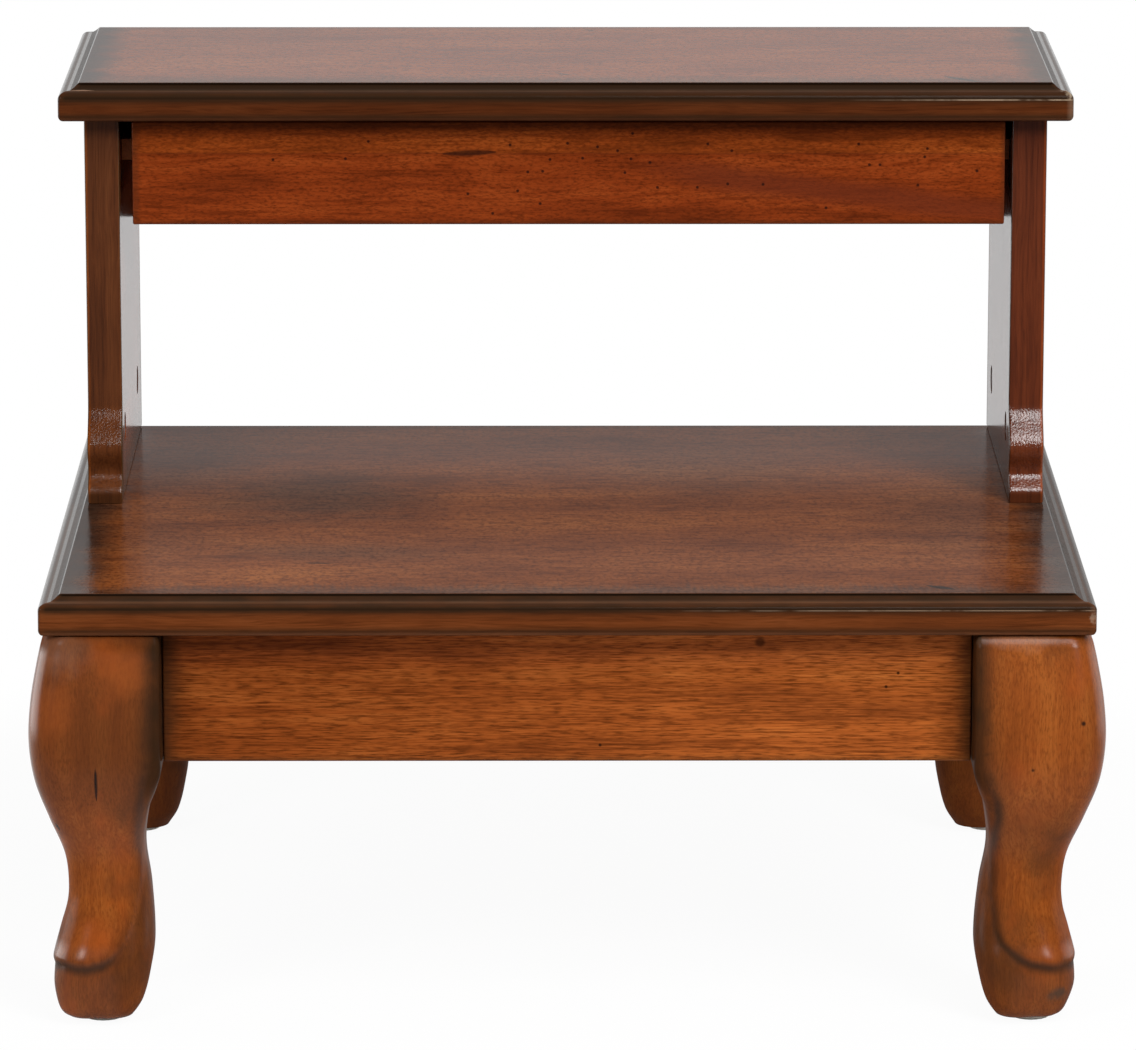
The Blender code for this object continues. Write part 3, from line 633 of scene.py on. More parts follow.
def leg(label, side, end, material):
    node = f"leg_{label}"
    low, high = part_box(node)
    tread_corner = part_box("lower_tread")[1]
    apron_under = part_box("apron_front")[0].z
    corner = (side * tread_corner.x, end * tread_corner.y)
    hand = "left" if side < 0 else "right"
    foot_top, shoulder = 0.075, high.z - LEG_TOP_HEIGHT[hand]
    levels = [low.z + (foot_top - low.z) * i / 110 for i in range(110)]
    levels += [foot_top + (shoulder - foot_top) * i / 80 for i in range(80)]
    levels += [shoulder + (high.z - shoulder) * i / 8 for i in range(9)]
    rings, glaze, shine = [], [], []
    for z in levels:
        section, outer = leg_ring(z, low.z, high.z, apron_under)
        draw_in = LEG_TOP_DRAW * max(z - shoulder, 0.0) ** 2
        lean = LEG_LEAN[hand] * ramp_up(z, 0.13, 0.03)
        trim = FOOT_TRIM[hand] * ramp_up(z, 0.022, 0.006)
        toe, knee = ramp_up(z, 0.075, 0.045), ramp_up(z, 0.1, 0.13)
        instep = 1 - 0.75 * ramp_up(z, 0.036, 0.043) * ramp_up(z, 0.095, 0.075)
        head = 1 - (1 - LEG_TOP_GLOSS[hand]) * ramp_up(z, high.z - 0.01, high.z - 0.005)
        head *= REAR_GLOSS if end > 0 else 1.0
        ring, dark, gloss = [], [], []
        count = len(section)
        for k, (a, b) in enumerate(section):
            along = ((a - outer) ** 3 + (b - outer) ** 3) ** (1 / 3)
            gap, strength = outline_gap(OUTLINES[hand], along, z)
            reach = GROOVE_ABOVE if gap > 0 else GROOVE_BELOW
            groove = strength * ramp_up(z, 0.118, 0.095) * math.exp(-(gap / reach) ** 2)
            push = -GROOVE_DEPTH * groove - draw_in
            push -= trim * ramp_up(along, 0.03, 0.008)
            if gap > 0:
                push += TOE_SWELL * toe * (1 - math.exp(-gap / 0.0025)) * math.exp(-(gap / 0.0075) ** 2)
                gloss.append(head * instep)
                soft = 0.75 * knee * math.exp(-gap / 0.005) + 0.3 * toe * math.exp(-gap / 0.003)
            else:
                dull = max(knee, 0.8 * ramp_up(along, 0.026, 0.036)) * ramp_up(-gap, 0.0, 0.003)
                gloss.append(head * (1 - 0.88 * dull))
                soft = (0.15 + 0.35 * ramp_up(along, 0.02, 0.034)) * ramp_up(-gap, 0.0, 0.003)
                soft *= 1 - 0.5 * ramp_up(-gap, 0.01, 0.024)
                soft = max(soft, EDGE_GLAZE * knee * ramp_up(-gap, -0.0005, 0.0015))
            before, after = section[k - 1], section[(k + 1) % count]
            tangent = Vector((after[0] - before[0], after[1] - before[1])).normalized()
            a, b = a + tangent.y * push, b - tangent.x * push
            ring.append((corner[0] - side * a + lean, corner[1] - end * b, z))
            dark.append(max(soft, OUTLINE_GLAZE * strength * math.exp(-(gap / 0.0033) ** 2)))
        rings.append(ring)
        glaze.append(dark)
        shine.append(gloss)
    mesh = solid_of(rings, {"glaze": glaze, "shine": shine})
    return piece(f"{node}_carved", mesh, material, node, sharp=60)


# Boards with eased edges


def eased_board(node, name, material, ease, body="stool", tools=(), wider=0.0, taller=0.0):
    low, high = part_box(node)
    low.x -= wider
    high.z += taller
    bm = box_of(low, high)
    bmesh.ops.bevel(bm, geom=list(bm.edges), offset=ease, segments=4, profile=0.5, affect="EDGES")
    return piece(name, mesh_of(bm, name), material, node, body, tools)


# Finishes of the pieces


def edge_distance(net, at, low, high):
    """How far inside the nearer of two faces a point is, along one axis."""
    return net.least(net.sub(at, low), net.sub(high, at))


def dress_tread(node, end_width, strokes, blotches, sheen=None):
    """Dark borders, blotches and dents of a tread, and a painted highlight over its front left. end_width
    is the width of the dark border at its ends.

    sheen holds the lacquer's weight at the front, middle and back of the board and what the ends add.
    """
    low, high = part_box(node)
    arris = OVOLO_WIDTH + FILLET_WIDTH + BEVEL_WIDTH

    def dress(net, place, colour):
        x, y, _ = net.split(place)
        ragged = net.jitter(place, (30, 60, 60), 4.0, 4, 0.03)
        spiky = net.jitter(place, (420, 60, 60), 7.0, 3, 0.03)
        ends = net.add(net.sub(edge_distance(net, x, low.x, high.x), arris), net.mul(ragged, 0.8))
        front = net.add(net.sub(net.sub(y, low.y), arris), net.add(net.mul(ragged, 0.4), spiky))
        back = net.add(net.sub(net.sub(high.y, y), arris), net.mul(ragged, 0.6))
        end_border = net.step(ends, end_width, 0.002)
        front_border = net.step(front, 0.026, 0.002)
        back_border = net.step(back, 0.012, 0.0)
        border = net.most(
            net.mul(end_border, 0.92), net.mul(front_border, 0.6), net.mul(back_border, 0.5),
        )
        for centre, size, depth in blotches:
            away = net.vector("DISTANCE", net.vector("MULTIPLY", place, (1.0, size, 1.0)),
                              (centre[0], centre[1] * size, centre[2]))
            away = net.add(away, net.mul(ragged, 2.0))
            border = net.most(border, net.mul(net.step(away, 0.085, 0.01), depth))
        colour = net.stain(border, colour, (0.22, 0.48, 1.3))
        # painted highlight: a broad paler patch over the tread's front left
        painted_highlight = net.mul(net.step(x, -0.06, -0.17), net.step(y, -0.07, -0.13))
        colour = net.stain(painted_highlight, colour, (1.2, 1.2, 1.1))
        left_end = net.mul(end_border, net.step(x, -0.15, -0.22))
        colour = net.stain(left_end, colour, (0.62, 0.55, 0.5))
        for start, end, radius in strokes:
            mark = net.stroke(place, start, end, radius)
            colour = net.paint(mark, colour, (0.02, 0.011, 0.007), 0.9)
        weight = None
        if sheen:
            at_front, at_middle, at_back, at_ends = sheen
            weight = net.add(
                at_middle, net.mul(net.step(y, -0.03, -0.14), at_front - at_middle),
                net.mul(net.step(y, 0.0, 0.13), at_back - at_middle),
                net.mul(end_border, at_ends), net.mul(front_border, at_ends * 0.25),
            )
        return colour, weight

    return dress


def dress_edge(line, rub_and_highlight, highlight_from, highlight_to, right_gloss, wear, scratch=None):
    """Glaze, painted highlight lines and wear of a moulded edge.

    line is the strength of the painted highlight line on the fillet. A painted highlight runs along the
    ovolo's lower edge, patchy, from highlight_from to the right, fully at highlight_to, and the corners'
    wear shows along with it. wear holds spots (centre, radius, strength) where the finish is worn pale.
    """

    def dress(net, place, colour):
        x = net.split(place)[0]
        depth = net.attribute("glaze")
        patchy = net.noise(place, (50, 50, 160), 8.0, detail=3)
        glaze = net.math("MULTIPLY", depth, net.add(0.7, net.mul(patchy, 0.55)), clamp=True)
        colour = net.paint(glaze, colour, (0.03, 0.014, 0.0065))
        colour = net.paint(net.step(depth, 0.95, 1.3), colour, (0.008, 0.0035, 0.0016))
        worn = net.noise(place, (60, 60, 60), 2.0, detail=4)
        # painted highlight lines where the line attribute marks them
        bright = net.mul(net.attribute("line"), line, net.add(0.45, net.mul(worn, 1.1)))
        colour = net.paint(bright, colour, (0.42, 0.27, 0.17))
        # painted highlight along the ovolo's lower edge, patchy, towards the right end; the corners' wear
        # shows with it
        edge_highlight = net.mul(net.step(x, highlight_from, highlight_to), net.step(worn, 0.34, 0.55))
        colour = net.paint(net.mul(net.attribute("rub_and_highlight"), edge_highlight, rub_and_highlight), colour, (0.52, 0.38, 0.26))
        fray = net.jitter(place, (500, 500, 500), 6.0, 3, 0.01)
        for centre, radius, strength in wear:
            away = net.add(net.vector("DISTANCE", place, centre), fray)
            spot = net.step(away, radius, radius * 0.3)
            colour = net.paint(spot, colour, (0.56, 0.45, 0.32), strength)
        if scratch:
            colour = net.paint(net.stroke(place, *scratch), colour, (0.38, 0.23, 0.15), 0.8)
        shine = net.attribute("shine")
        colour = net.paint(net.math("MULTIPLY", shine, 0.8, clamp=True), colour, (0.022, 0.013, 0.008))
        gloss = net.mul(shine, net.add(1.0, net.mul(net.step(x, 0.15, 0.22), right_gloss - 1.0)))
        return colour, net.math("ADD", 0.1, net.mul(gloss, 0.8), clamp=True)

    return dress


def glazed(net, place, colour):
    glaze = net.attribute("glaze")
    patchy = net.noise(place, (45, 45, 45), 1.0, detail=3)
    glaze = net.math("MULTIPLY", glaze, net.add(0.75, net.mul(patchy, 0.6)), clamp=True)
    return net.paint(glaze, colour, (0.026, 0.013, 0.006), 0.95)


def ogee_zone(net, place):
    """1 on the ogee foot's front, 0 on the rest of a side panel."""
    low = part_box("side_panel_left")[0]
    _, y, z = net.split(place)
    top = low.z + FOOT_STEM + FOOT_RISE + RECESS_RISE + CYMA_HEIGHT
    front = low.y + FOOT_REACH
    return net.mul(
        net.step(z, low.z + 0.004, low.z + 0.009), net.step(z, top + 0.003, top - 0.003),
        net.step(y, front + 0.003, front - 0.001),
    )


def dress_panel(net, place, colour):
    low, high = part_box("side_panel_left")
    x, y, z = net.split(place)
    colour = glazed(net, place, colour)
    base = net.step(z, low.z + 0.0085, low.z + 0.003)
    base = net.mul(base, net.step(y, low.y + 0.016, low.y + 0.01))
    colour = net.paint(base, colour, (0.02, 0.007, 0.003), 0.6)
    outer = net.step(net.math("ABSOLUTE", x), -low.x - 0.002, -low.x - 0.0008)
    rear = net.step(y, high.y - 0.006, high.y - 0.002)
    left = net.step(x, 0.1, -0.1)
    front = net.step(y, low.y + FOOT_REACH + 0.004, low.y + FOOT_REACH + 0.002)
    colour = net.stain(net.mul(front, left), colour, (0.98, 1.14, 0.95))
    colour = net.stain(net.mul(front, net.sub(1.0, left)), colour, (1.16, 1.0, 0.9))
    colour = net.stain(outer, colour, (2.0, 1.8, 1.3))
    # painted light: the left panel's inner face made paler, as the light from the right falls on it
    left_inner_painted_light = net.mul(left, net.step(x, high.x - 0.001, high.x - 0.0002))
    colour = net.stain(left_inner_painted_light, colour, (2.0, 1.9, 1.4))
    gloss = net.sub(0.78, net.mul(net.most(outer, rear), 0.6))
    return colour, net.add(gloss, net.mul(ogee_zone(net, place), net.sub(0.2, net.mul(left, 0.65))))


def panel_grit(net, place):
    """The ogee foot's lacquer over end grain is pebbly, the rest of the panel is smooth."""
    return net.mul(net.noise(place, (1000, 1000, 700), 3.0, detail=2), ogee_zone(net, place))


def dress_leg(net, place, colour):
    x, _, z = net.split(place)
    left = net.step(x, 0.1, -0.1)
    knee = net.step(z, 0.095, 0.125)
    pad = net.step(z, 0.036, 0.026)
    ankle = net.step(z, 0.125, 0.095)
    toe = net.step(z, 0.062, 0.048)
    # painted shade: darker on the left knee, at the left leg's top under the tread, on the pad, the ankle
    # and the toe; the right leg's outer rim is darker with glaze
    shade = net.most(
        net.mul(left, knee, 0.5), net.mul(pad, 0.42),
        net.mul(left, net.step(z, 0.176, 0.192), 0.68),
        net.add(net.mul(ankle, 0.16), net.mul(toe, 0.24)),
        net.mul(net.step(x, 0.242, 0.259), 0.35),
    )
    colour = net.paint(shade, colour, (0.075, 0.02, 0.006))
    smear = net.noise(place, (30, 30, 20), 5.0, detail=4)
    colour = net.paint(net.step(smear, 0.5, 0.7), colour, (0.095, 0.03, 0.009), 0.68)
    warm = net.noise(place, (38, 38, 26), 15.0, detail=3)
    colour = net.paint(net.step(warm, 0.52, 0.7), colour, (0.33, 0.066, 0.009), 0.4)
    colour = glazed(net, place, colour)
    fray = net.jitter(place, (120, 120, 120), 6.0, 3, 0.012)
    # Patches of darker and orange stain, two painted highlights at the legs' tops, and a dark smudge on the
    # right pad.
    for centre, stretch, radius, strength, paint in (
        ((-0.2265, -0.208, 0.148), 1.5, 0.038, 0.32, (0.08, 0.025, 0.008)),
        ((-0.248, -0.204, 0.16), 1.2, 0.019, 0.3, (0.36, 0.08, 0.011)),
        ((-0.213, -0.208, 0.18), 1.0, 0.017, 0.34, (0.38, 0.088, 0.012)),
        ((-0.229, -0.2, 0.047), 1.0, 0.016, 0.36, (0.4, 0.078, 0.009)),
        ((0.229, -0.199, 0.095), 1.0, 0.028, 0.26, (0.09, 0.027, 0.008)),
        # The next two are painted highlights: pale smears of reflected light at the tops of the left and
        # the right leg.
        ((-0.2435, -0.2032, 0.19), 0.8, 0.016, 0.07, (0.46, 0.36, 0.28)),
        ((0.219, -0.2016, 0.1955), 0.35, 0.008, 0.12, (0.5, 0.38, 0.28)),
        ((0.2407, -0.1984, 0.0166), 0.65, 0.006, 0.75, (0.05, 0.034, 0.022)),
    ):
        scale = (stretch, stretch, 1.0)
        spot = Vector((centre[0] * stretch, centre[1] * stretch, centre[2]))
        away = net.add(net.vector("DISTANCE", net.vector("MULTIPLY", place, scale), spot), fray)
        colour = net.paint(net.step(away, radius, radius * 0.2), colour, paint, strength)
    gash = net.stroke(place, (-0.2271, -0.209, 0.1347), (-0.2269, -0.2046, 0.116), 0.0008)
    nick = net.stroke(place, (-0.248, -0.1935, 0.102), (-0.2455, -0.1925, 0.0985), 0.0012)
    dots = [(0.2481, -0.2089, 0.1552, 0.0012), (0.224, -0.2086, 0.1318, 0.0009),
            (0.2367, -0.2097, 0.145, 0.0007)]
    marks = net.most(gash, nick, *(net.dot(place, spot, radius) for *spot, radius in dots))
    colour = net.paint(marks, colour, (0.014, 0.007, 0.004), 0.9)
    return colour, net.mul(net.attribute("shine"), net.add(0.65, net.mul(left, 0.35)))


def dress_drawer(net, place, colour):
    low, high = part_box("drawer_front")
    x, _, z = net.split(place)
    sway = net.jitter(place, (18, 18, 18), 2.0, 2, 0.0016)
    strip = net.step(net.add(z, sway), 0.3936, 0.3944)
    colour = net.stain(strip, colour, (1.29, 1.5, 1.3))
    curl = net.step(net.noise(place, (330, 330, 900), 23.0, detail=2), 0.42, 0.72)
    colour = net.paint(net.mul(curl, strip, 0.5), colour, (0.13, 0.022, 0.004))
    joint = net.step(net.math("ABSOLUTE", net.sub(net.add(z, sway), 0.3938)), 0.0009, 0.0)
    colour = net.paint(joint, colour, (0.075, 0.018, 0.006), 0.3)
    swell = net.jitter(place, (5, 5, 34), 7.0, 2, 0.022)
    arch = net.add(net.sub(z, 0.385), net.mul(net.sub(x, 0.06), 0.13), swell)
    figure = net.step(net.math("ABSOLUTE", arch), 0.01, 0.001)
    figure = net.mul(figure, net.step(x, 0.02, 0.08), net.sub(1.0, strip), 0.7)
    colour = net.paint(figure, colour, (0.12, 0.022, 0.008))
    rim = net.least(edge_distance(net, x, low.x, high.x), edge_distance(net, z, low.z, high.z))
    colour = net.paint(net.step(rim, 0.0035, 0.0004), colour, (0.06, 0.017, 0.006), 0.45)
    dots = [(-0.1473, 0.3907), (-0.1108, 0.3912), (0.0816, 0.3782), (0.0994, 0.378), (0.1312, 0.366),
            (0.1474, 0.3986), (0.0836, 0.3952), (0.207, 0.3848), (0.1774, 0.3776), (0.1529, 0.388),
            (0.1582, 0.388), (0.1807, 0.392), (0.182, 0.3962), (0.0715, 0.3986), (-0.0993, 0.4),
            (-0.028, 0.3982), (-0.0079, 0.3907), (0.0009, 0.399), (0.0085, 0.3914), (0.016, 0.3972),
            (0.0261, 0.3952), (0.0328, 0.391), (0.0424, 0.3892), (0.0336, 0.404), (-0.0191, 0.3844),
            (-0.0116, 0.3847), (-0.0242, 0.3747), (-0.0493, 0.3732), (-0.0129, 0.3682), (-0.0368, 0.3632),
            (0.0298, 0.384), (0.0663, 0.3765), (0.0462, 0.3765)]
    marks = net.most(*(net.dot(place, (across, low.y, up), WORM_HOLE) for across, up in dots))
    dash = net.stroke(place, (-0.0615, low.y, 0.3936), (-0.0355, low.y, 0.3946), 0.0015)
    marks = net.most(net.mul(marks, 0.9), net.mul(dash, 0.8))
    return net.paint(marks, colour, (0.022, 0.007, 0.004)), None


def dress_apron(node, axis, dots, knots):
    """Paler towards the right, painted lighter under the tread against the tread's shadow, dark at the ends
    of the axis it runs along and below.
    """
    low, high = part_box(node)
    run = "xyz".index(axis)

    def dress(net, place, colour):
        x, y, z = net.split(place)
        drift = net.jitter(place, (14, 14, 14), 3.0, 2, 0.16)
        warm = net.step(net.add(x, drift), -0.16, 0.17)
        colour = net.stain(net.sub(1.0, warm), colour, (0.82, 0.82, 0.9))
        colour = net.stain(warm, colour, (1.32, 1.45, 1.62))
        # painted light: paler at the top, under the tread, lifting the tread's shadow
        colour = net.stain(net.step(z, 0.172, 0.19), colour, (1.35, 1.35, 1.6))
        ragged = net.jitter(place, (80, 80, 80), 1.0, 3, 0.008)
        ends = net.add(edge_distance(net, (x, y, z)[run], low[run], high[run]), ragged)
        height = net.add(net.sub(z, low.z), net.mul(ragged, 0.5))
        shade = net.mul(net.step(ends, 0.011, 0.0), 0.8)
        shade = net.most(shade, net.mul(net.step(height, 0.004, 0.0), 0.55))
        colour = net.paint(shade, colour, (0.045, 0.018, 0.007))
        marks = [net.mul(net.dot(place, (across, low.y, up), WORM_HOLE), 0.9) for across, up in dots]
        marks += [net.mul(net.dot(place, (across, low.y, up), 0.0022), 0.7) for across, up in knots]
        if marks:
            colour = net.paint(net.most(*marks), colour, (0.02, 0.008, 0.004))
        return colour, None

    return dress


def inner_wood(name, along, seed):
    return wood(
        name, (0.3, 0.18, 0.09), (0.42, 0.27, 0.14), (0.52, 0.35, 0.19), along, seed,
        pores=0.25, streaks=0.3, gloss=0.15, gloss_roughness=0.4,
    )


def zinc_plate(name, shade):
    """Zinc with a faint mottle, darker by the factor shade: bright plating at 1, near black at 0.3."""
    material = bpy.data.materials.new(name)
    net = Net(material)
    mottle = net.noise(net.place(), (260, 260, 260), 1.0, detail=3)
    scratch = net.noise(net.place(), (1800, 1800, 240), 2.0, detail=2)
    dull, bright = ([c * shade for c in grey] for grey in ((0.3, 0.29, 0.27), (0.46, 0.45, 0.42)))
    colour = net.ramp(mottle, (0.3, dull), (0.7, bright))
    roughness = net.add(0.28, net.mul(scratch, 0.22))
    shader = net.node("ShaderNodeBsdfPrincipled", {
        "Base Color": colour, "Metallic": 1.0, "Roughness": roughness,
    })
    net.surface(shader)
    return material


def glide_plastic():
    """Dull off-white plastic, scuffed grey on the sole."""
    material = bpy.data.materials.new("glide_plastic_scuffed")
    net = Net(material)
    place = net.place()
    scuff = net.noise(place, (300, 300, 300), 1.0, detail=4)
    sole = net.step(net.split(place)[2], 0.0016, 0.0002)
    colour = net.ramp(scuff, (0.35, (0.6, 0.58, 0.52)), (0.65, (0.74, 0.72, 0.66)))
    colour = net.paint(sole, colour, (0.36, 0.34, 0.3), 0.5)
    shader = net.node("ShaderNodeBsdfPrincipled", {"Base Color": colour, "Roughness": 0.5})
    net.surface(shader)
    return material


upper_stain = wood(
    "upper_tread_stain", (0.16, 0.033, 0.008), (0.238, 0.055, 0.012), (0.298, 0.08, 0.019),
    seed=1.0, pores=0.75, fleck=(430, 300, 300), streaks=0.4, line=(70, 360, 360), band=(8, 40, 40),
    dress=dress_tread("upper_tread", 0.02, [
        ((0.191, 0.025, 0.4314), (0.206, 0.0095, 0.4314), 0.0026),
        ((-0.006, 0.037, 0.432), (0.004, 0.029, 0.432), 0.0012),
        ((0.01, 0.179, 0.432), (0.017, 0.171, 0.432), 0.0012),
    ], []),
)
lower_stain = wood(
    "lower_tread_stain", (0.125, 0.032, 0.009), (0.204, 0.057, 0.015), (0.268, 0.084, 0.022),
    seed=5.0, pores=0.72, fleck=(480, 320, 320), streaks=0.45, line=(70, 380, 380), band=(6, 26, 26),
    dress=dress_tread("lower_tread", 0.03, [
        ((0.174, -0.177, 0.216), (0.1865, -0.185, 0.216), 0.0026),
        ((-0.129, -0.128, 0.216), (-0.114, -0.129, 0.216), 0.001),
    ], [((-0.128, 0.025, 0.216), 0.9, 0.6), ((-0.2, 0.09, 0.216), 0.8, 0.4),
        ((0.07, 0.085, 0.216), 0.8, 0.25), ((0.21, -0.03, 0.216), 0.7, 0.3),
        # The last blotch, at the left front beside the left panel, is a painted reflection of the panel's
        # dark front.
        ((-0.115, -0.106, 0.216), 3.0, 0.38), ((-0.228, -0.085, 0.216), 0.5, 0.15)],
        (0.16, 0.1, 0.27, 0.2)),
)
upper_edge = wood(
    "upper_edge_stain", (0.055, 0.014, 0.004), (0.088, 0.022, 0.006), (0.12, 0.033, 0.009),
    seed=2.0, pores=0.35, streaks=0.3, dress=dress_edge(
        0.07, 0.65, 0.13, 0.235, 1.0, [((0.2525, 0.0005, 0.4275), 0.0045, 0.45)],
        ((-0.2485, 0.0025, 0.4281), (-0.236, 0.0025, 0.4281), 0.0007),
    ),
)
lower_edge = wood(
    "lower_edge_stain", (0.085, 0.022, 0.006), (0.14, 0.036, 0.009), (0.185, 0.052, 0.014),
    seed=6.0, pores=0.35, streaks=0.3, dress=dress_edge(
        0.1, 0.3, 0.02, 0.14, 0.5, [((0.2535, -0.2025, 0.206), 0.0035, 0.22)],
    ),
)
panel_stain = wood(
    "panel_stain_lacquered", (0.066, 0.015, 0.006), (0.112, 0.026, 0.009), (0.15, 0.038, 0.013),
    along="z", seed=11.0, pores=0.3, streaks=0.3, gloss_index=1.8, dress=dress_panel, grit=panel_grit,
)
drawer_stain = wood(
    "drawer_stain_lacquered", (0.125, 0.02, 0.004), (0.228, 0.036, 0.006), (0.315, 0.058, 0.01),
    seed=21.0, pores=0.75, fleck=(380, 1250, 1250), streaks=0.35, line=(34, 480, 480), band=(6, 70, 70),
    gloss=0.25, dress=dress_drawer,
)
APRON_GRAIN = {
    "dark": (0.145, 0.031, 0.006), "mid": (0.31, 0.07, 0.011), "light": (0.42, 0.112, 0.019),
    "pores": 0.9, "fleck": (125, 1350, 1350), "streaks": 0.5, "line": (30, 1500, 1500), "waver": 0.0025,
    "gloss": 0.25,
}
front_dots = [(0.1542, 0.1667), (0.16, 0.1735), (0.0159, 0.1377)]
front_knots = [(0.0931, 0.189)]
apron_stains = {}
for place, along, seed, dots, knots in (
    ("front", "x", 31.0, front_dots, front_knots), ("rear", "x", 33.0, (), ()),
    ("left", "y", 35.0, (), ()), ("right", "y", 37.0, (), ()),
):
    dress = dress_apron(f"apron_{place}", along, dots, knots)
    apron_stains[place] = wood(f"apron_{place}_stain", along=along, seed=seed, dress=dress, **APRON_GRAIN)
leg_stain = wood(
    "leg_stain_lacquered", (0.19, 0.043, 0.007), (0.275, 0.067, 0.01), (0.34, 0.094, 0.015),
    along="z", seed=41.0, pores=0.6, fleck=(260, 1400, 1400), streaks=0.06, gloss_roughness=0.24,
    relief=0.1, dress=dress_leg,
)
rail_stain = wood(
    "rail_stain_lacquered", (0.062, 0.015, 0.007), (0.105, 0.027, 0.011), (0.14, 0.04, 0.016),
    seed=51.0, pores=0.35, streaks=0.3, gloss=0.2,
)
# The runner's stain is far paler than the other woods: painted light, lifting the shade the runner sits in
# beside the drawer.
runner_painted_light = wood(
    "runner_painted_light_lacquered", (0.4, 0.11, 0.036), (0.56, 0.16, 0.055), (0.66, 0.205, 0.075),
    along="y", seed=55.0, pores=0.35, streaks=0.3, gloss=0.2,
)

tread("upper_tread", upper_stain, upper_edge)
tread("lower_tread", lower_stain, lower_edge)
for side, sign in SIDES.items():
    side_panel(side, panel_stain)
    for end, way in ENDS.items():
        leg(f"{end}_{side}", sign, way, leg_stain)
for place, stain in apron_stains.items():
    eased_board(f"apron_{place}", f"apron_{place}_board", stain, 0.0012)
eased_board(
    "drawer_front", "drawer_front_board", drawer_stain, 0.0009, "drawer",
    [tool_around("drawer_bottom")], wider=0.0013, taller=0.0012,
)

NODE_FINISHES = {
    "back_rail": rail_stain,
    "drawer_runner": runner_painted_light,
    "drawer_side": inner_wood("drawer_side_wood", "y", 61.0),
    "drawer_back": inner_wood("drawer_back_wood", "x", 67.0),
    "drawer_bottom": inner_wood("drawer_bottom_wood", "x", 71.0),
    "corner_block": inner_wood("corner_block_wood", "z", 77.0),
    "foot_glide": glide_plastic(),
    # The cam locks' zinc is scaled down to near black.
    "cam_lock": zinc_plate("cam_zinc", 0.3),
}
zinc = zinc_plate("zinc_plate", 1.0)
for name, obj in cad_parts.items():
    finish = next((made for start, made in NODE_FINISHES.items() if name.startswith(start)), zinc)
    if not obj.hide_render:
        cover(obj, finish)


# Floor, light and camera


def floor():
    """A pale floor, white to the eye, that still takes the stool's shadow."""
    bm = bmesh.new()
    oval = Matrix.Translation((*FLOOR_MIDDLE, -0.0002)) @ Matrix.Diagonal((*FLOOR_HALF, 1.0, 1.0))
    bmesh.ops.create_circle(bm, cap_ends=True, segments=96, radius=1.0, matrix=oval)
    obj = placed("floor", mesh_of(bm, "floor"))
    material = bpy.data.materials.new("floor_white")
    net = Net(material)
    path = net.node("ShaderNodeLightPath", {}).outputs
    seen = net.most(path["Is Camera Ray"], path["Is Glossy Ray"], path["Is Transmission Ray"])
    axes = net.split(net.place())
    across = net.math("DIVIDE", axes[0], FLOOR_HALF[0])
    deep = net.math("DIVIDE", net.sub(axes[1], FLOOR_MIDDLE[1]), FLOOR_HALF[1])
    away = net.vector("DISTANCE", net.join(across, deep, 0.0), (0.0, 0.0, 0.0))
    share = net.add(0.95, net.mul(net.step(away, 0.55, 0.97), 0.05))
    paint = net.node("ShaderNodeBsdfDiffuse", {"Color": (0.92, 0.92, 0.92, 1.0)})
    front = net.mul(net.step(axes[1], 0.25, -0.25), 0.85)
    strength = net.math("MAXIMUM", path["Is Camera Ray"], net.sub(1.0, front))
    glow = net.node("ShaderNodeEmission", {"Color": (1.0, 1.0, 1.0, 1.0), "Strength": strength})
    inputs = {0: net.mul(seen, share), 1: paint.outputs[0], 2: glow.outputs[0]}
    mixed = net.node("ShaderNodeMixShader", inputs)
    net.surface(mixed)
    material.cycles.emission_sampling = "NONE"
    obj.data.materials.append(material)


def lamp(name, place, target, width, height, power):
    light = bpy.data.lights.new(name, "AREA")
    light.shape = "RECTANGLE"
    light.size, light.size_y = width, height
    light.energy = power
    obj = placed(name, light)
    obj.location = place
    obj.rotation_euler = (Vector(target) - Vector(place)).to_track_quat("-Z", "Y").to_euler()


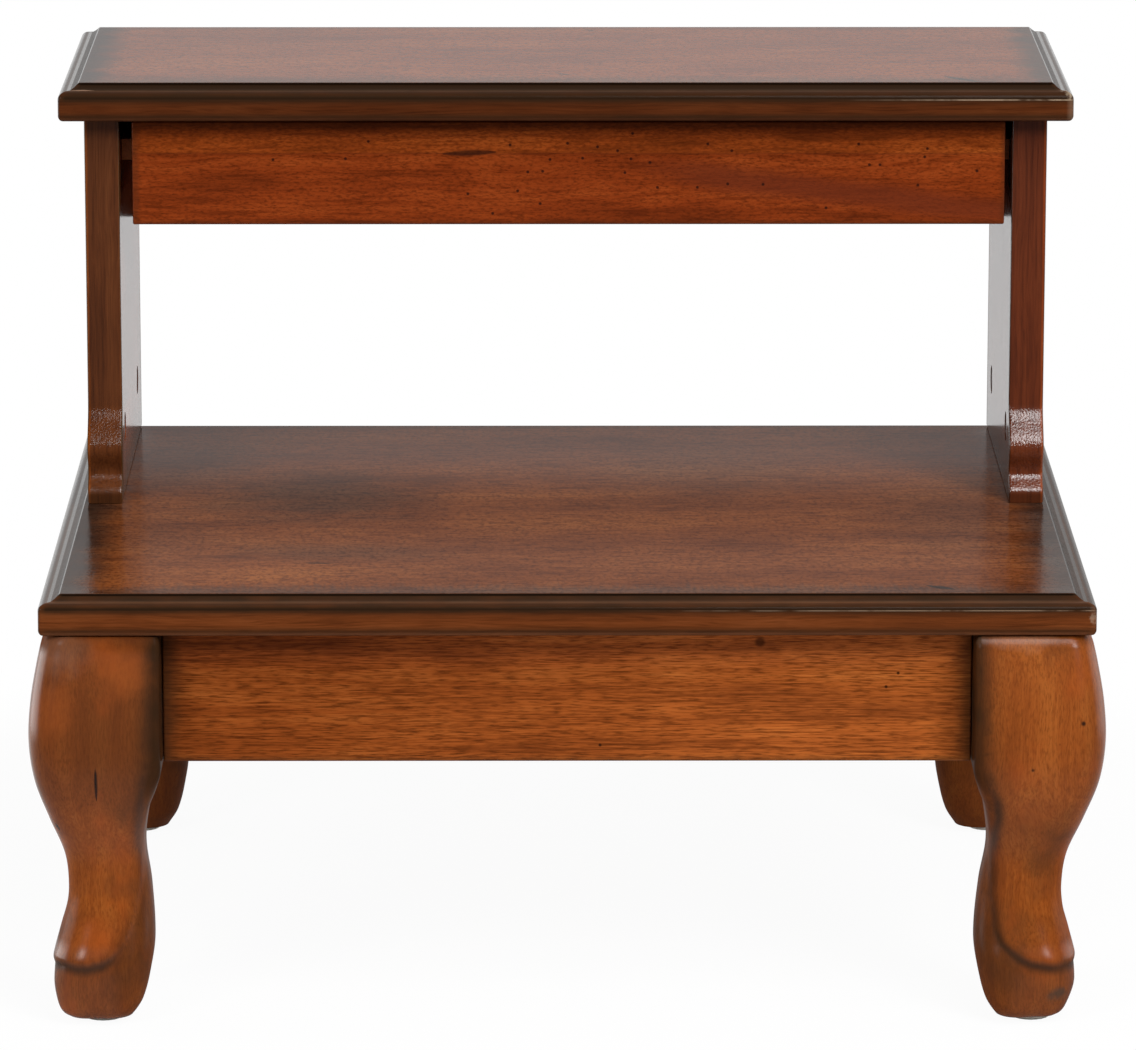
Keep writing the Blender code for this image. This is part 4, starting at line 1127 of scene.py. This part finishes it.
def sky():
    """White behind the stool, dim on the side that the picture is taken from."""
    world = bpy.data.worlds.new("studio")
    bpy.context.scene.world = world
    world.cycles.sampling_method = "NONE"
    net = Net(world)
    path = net.node("ShaderNodeLightPath", {}).outputs
    way = net.split(net.node("ShaderNodeTexCoord", {}).outputs["Generated"])
    backdrop = net.add(0.05, net.mul(net.step(way[1], -0.15, 0.35), 0.95))
    mirrored = net.math("MAXIMUM", path["Is Glossy Ray"], path["Is Transmission Ray"])
    strength = net.add(net.mul(mirrored, backdrop), net.mul(net.sub(1.0, mirrored), 0.3))
    camera = path["Is Camera Ray"]
    strength = net.add(camera, net.mul(net.sub(1.0, camera), strength))
    back = net.node("ShaderNodeBackground", {"Color": (1.0, 1.0, 1.0, 1.0), "Strength": strength})
    net.node("ShaderNodeOutputWorld", {"Surface": back.outputs[0]})


def camera():
    data = bpy.data.cameras.new("camera")
    obj = placed("camera", data)
    data.sensor_width = 36.0
    data.sensor_fit = "HORIZONTAL"
    data.lens = 229.27
    data.clip_end = 50.0
    yaw, pitch, roll = 0.00449, 0.22433, 0.00039
    ahead = Vector((
        math.sin(yaw) * math.cos(pitch), math.cos(yaw) * math.cos(pitch), -math.sin(pitch),
    ))
    level = ahead.cross(Vector((0, 0, 1))).normalized()
    upright = level.cross(ahead)
    right = level * math.cos(roll) + upright * math.sin(roll)
    top = upright * math.cos(roll) - level * math.sin(roll)
    matrix = Matrix((right, top, -ahead)).transposed().to_4x4()
    matrix.translation = (-0.0149, -3.5744, 1.0213)
    obj.matrix_world = matrix
    bpy.context.scene.camera = obj


floor()
lamp("front_right", (1.53, -2.19, 1.65), (0, 0, 0.25), 0.7, 0.7, 30.0)
lamp("front_left", (-1.53, -2.19, 1.65), (0, 0, 0.25), 0.7, 0.7, 25.5)
lamp("overhead", (0.75, -1.3, 1.95), (0, 0, 0.25), 1.3, 1.0, 28.0)
lamp("side_left", (-1.5, 0.25, 0.25), (-0.2, -0.15, 0.15), 1.2, 0.8, 7.5)
lamp("side_right", (1.5, 0.25, 0.25), (0.2, -0.15, 0.15), 1.2, 0.8, 3.2)
sky()
camera()
bpy.context.scene.view_settings.view_transform = "Standard"
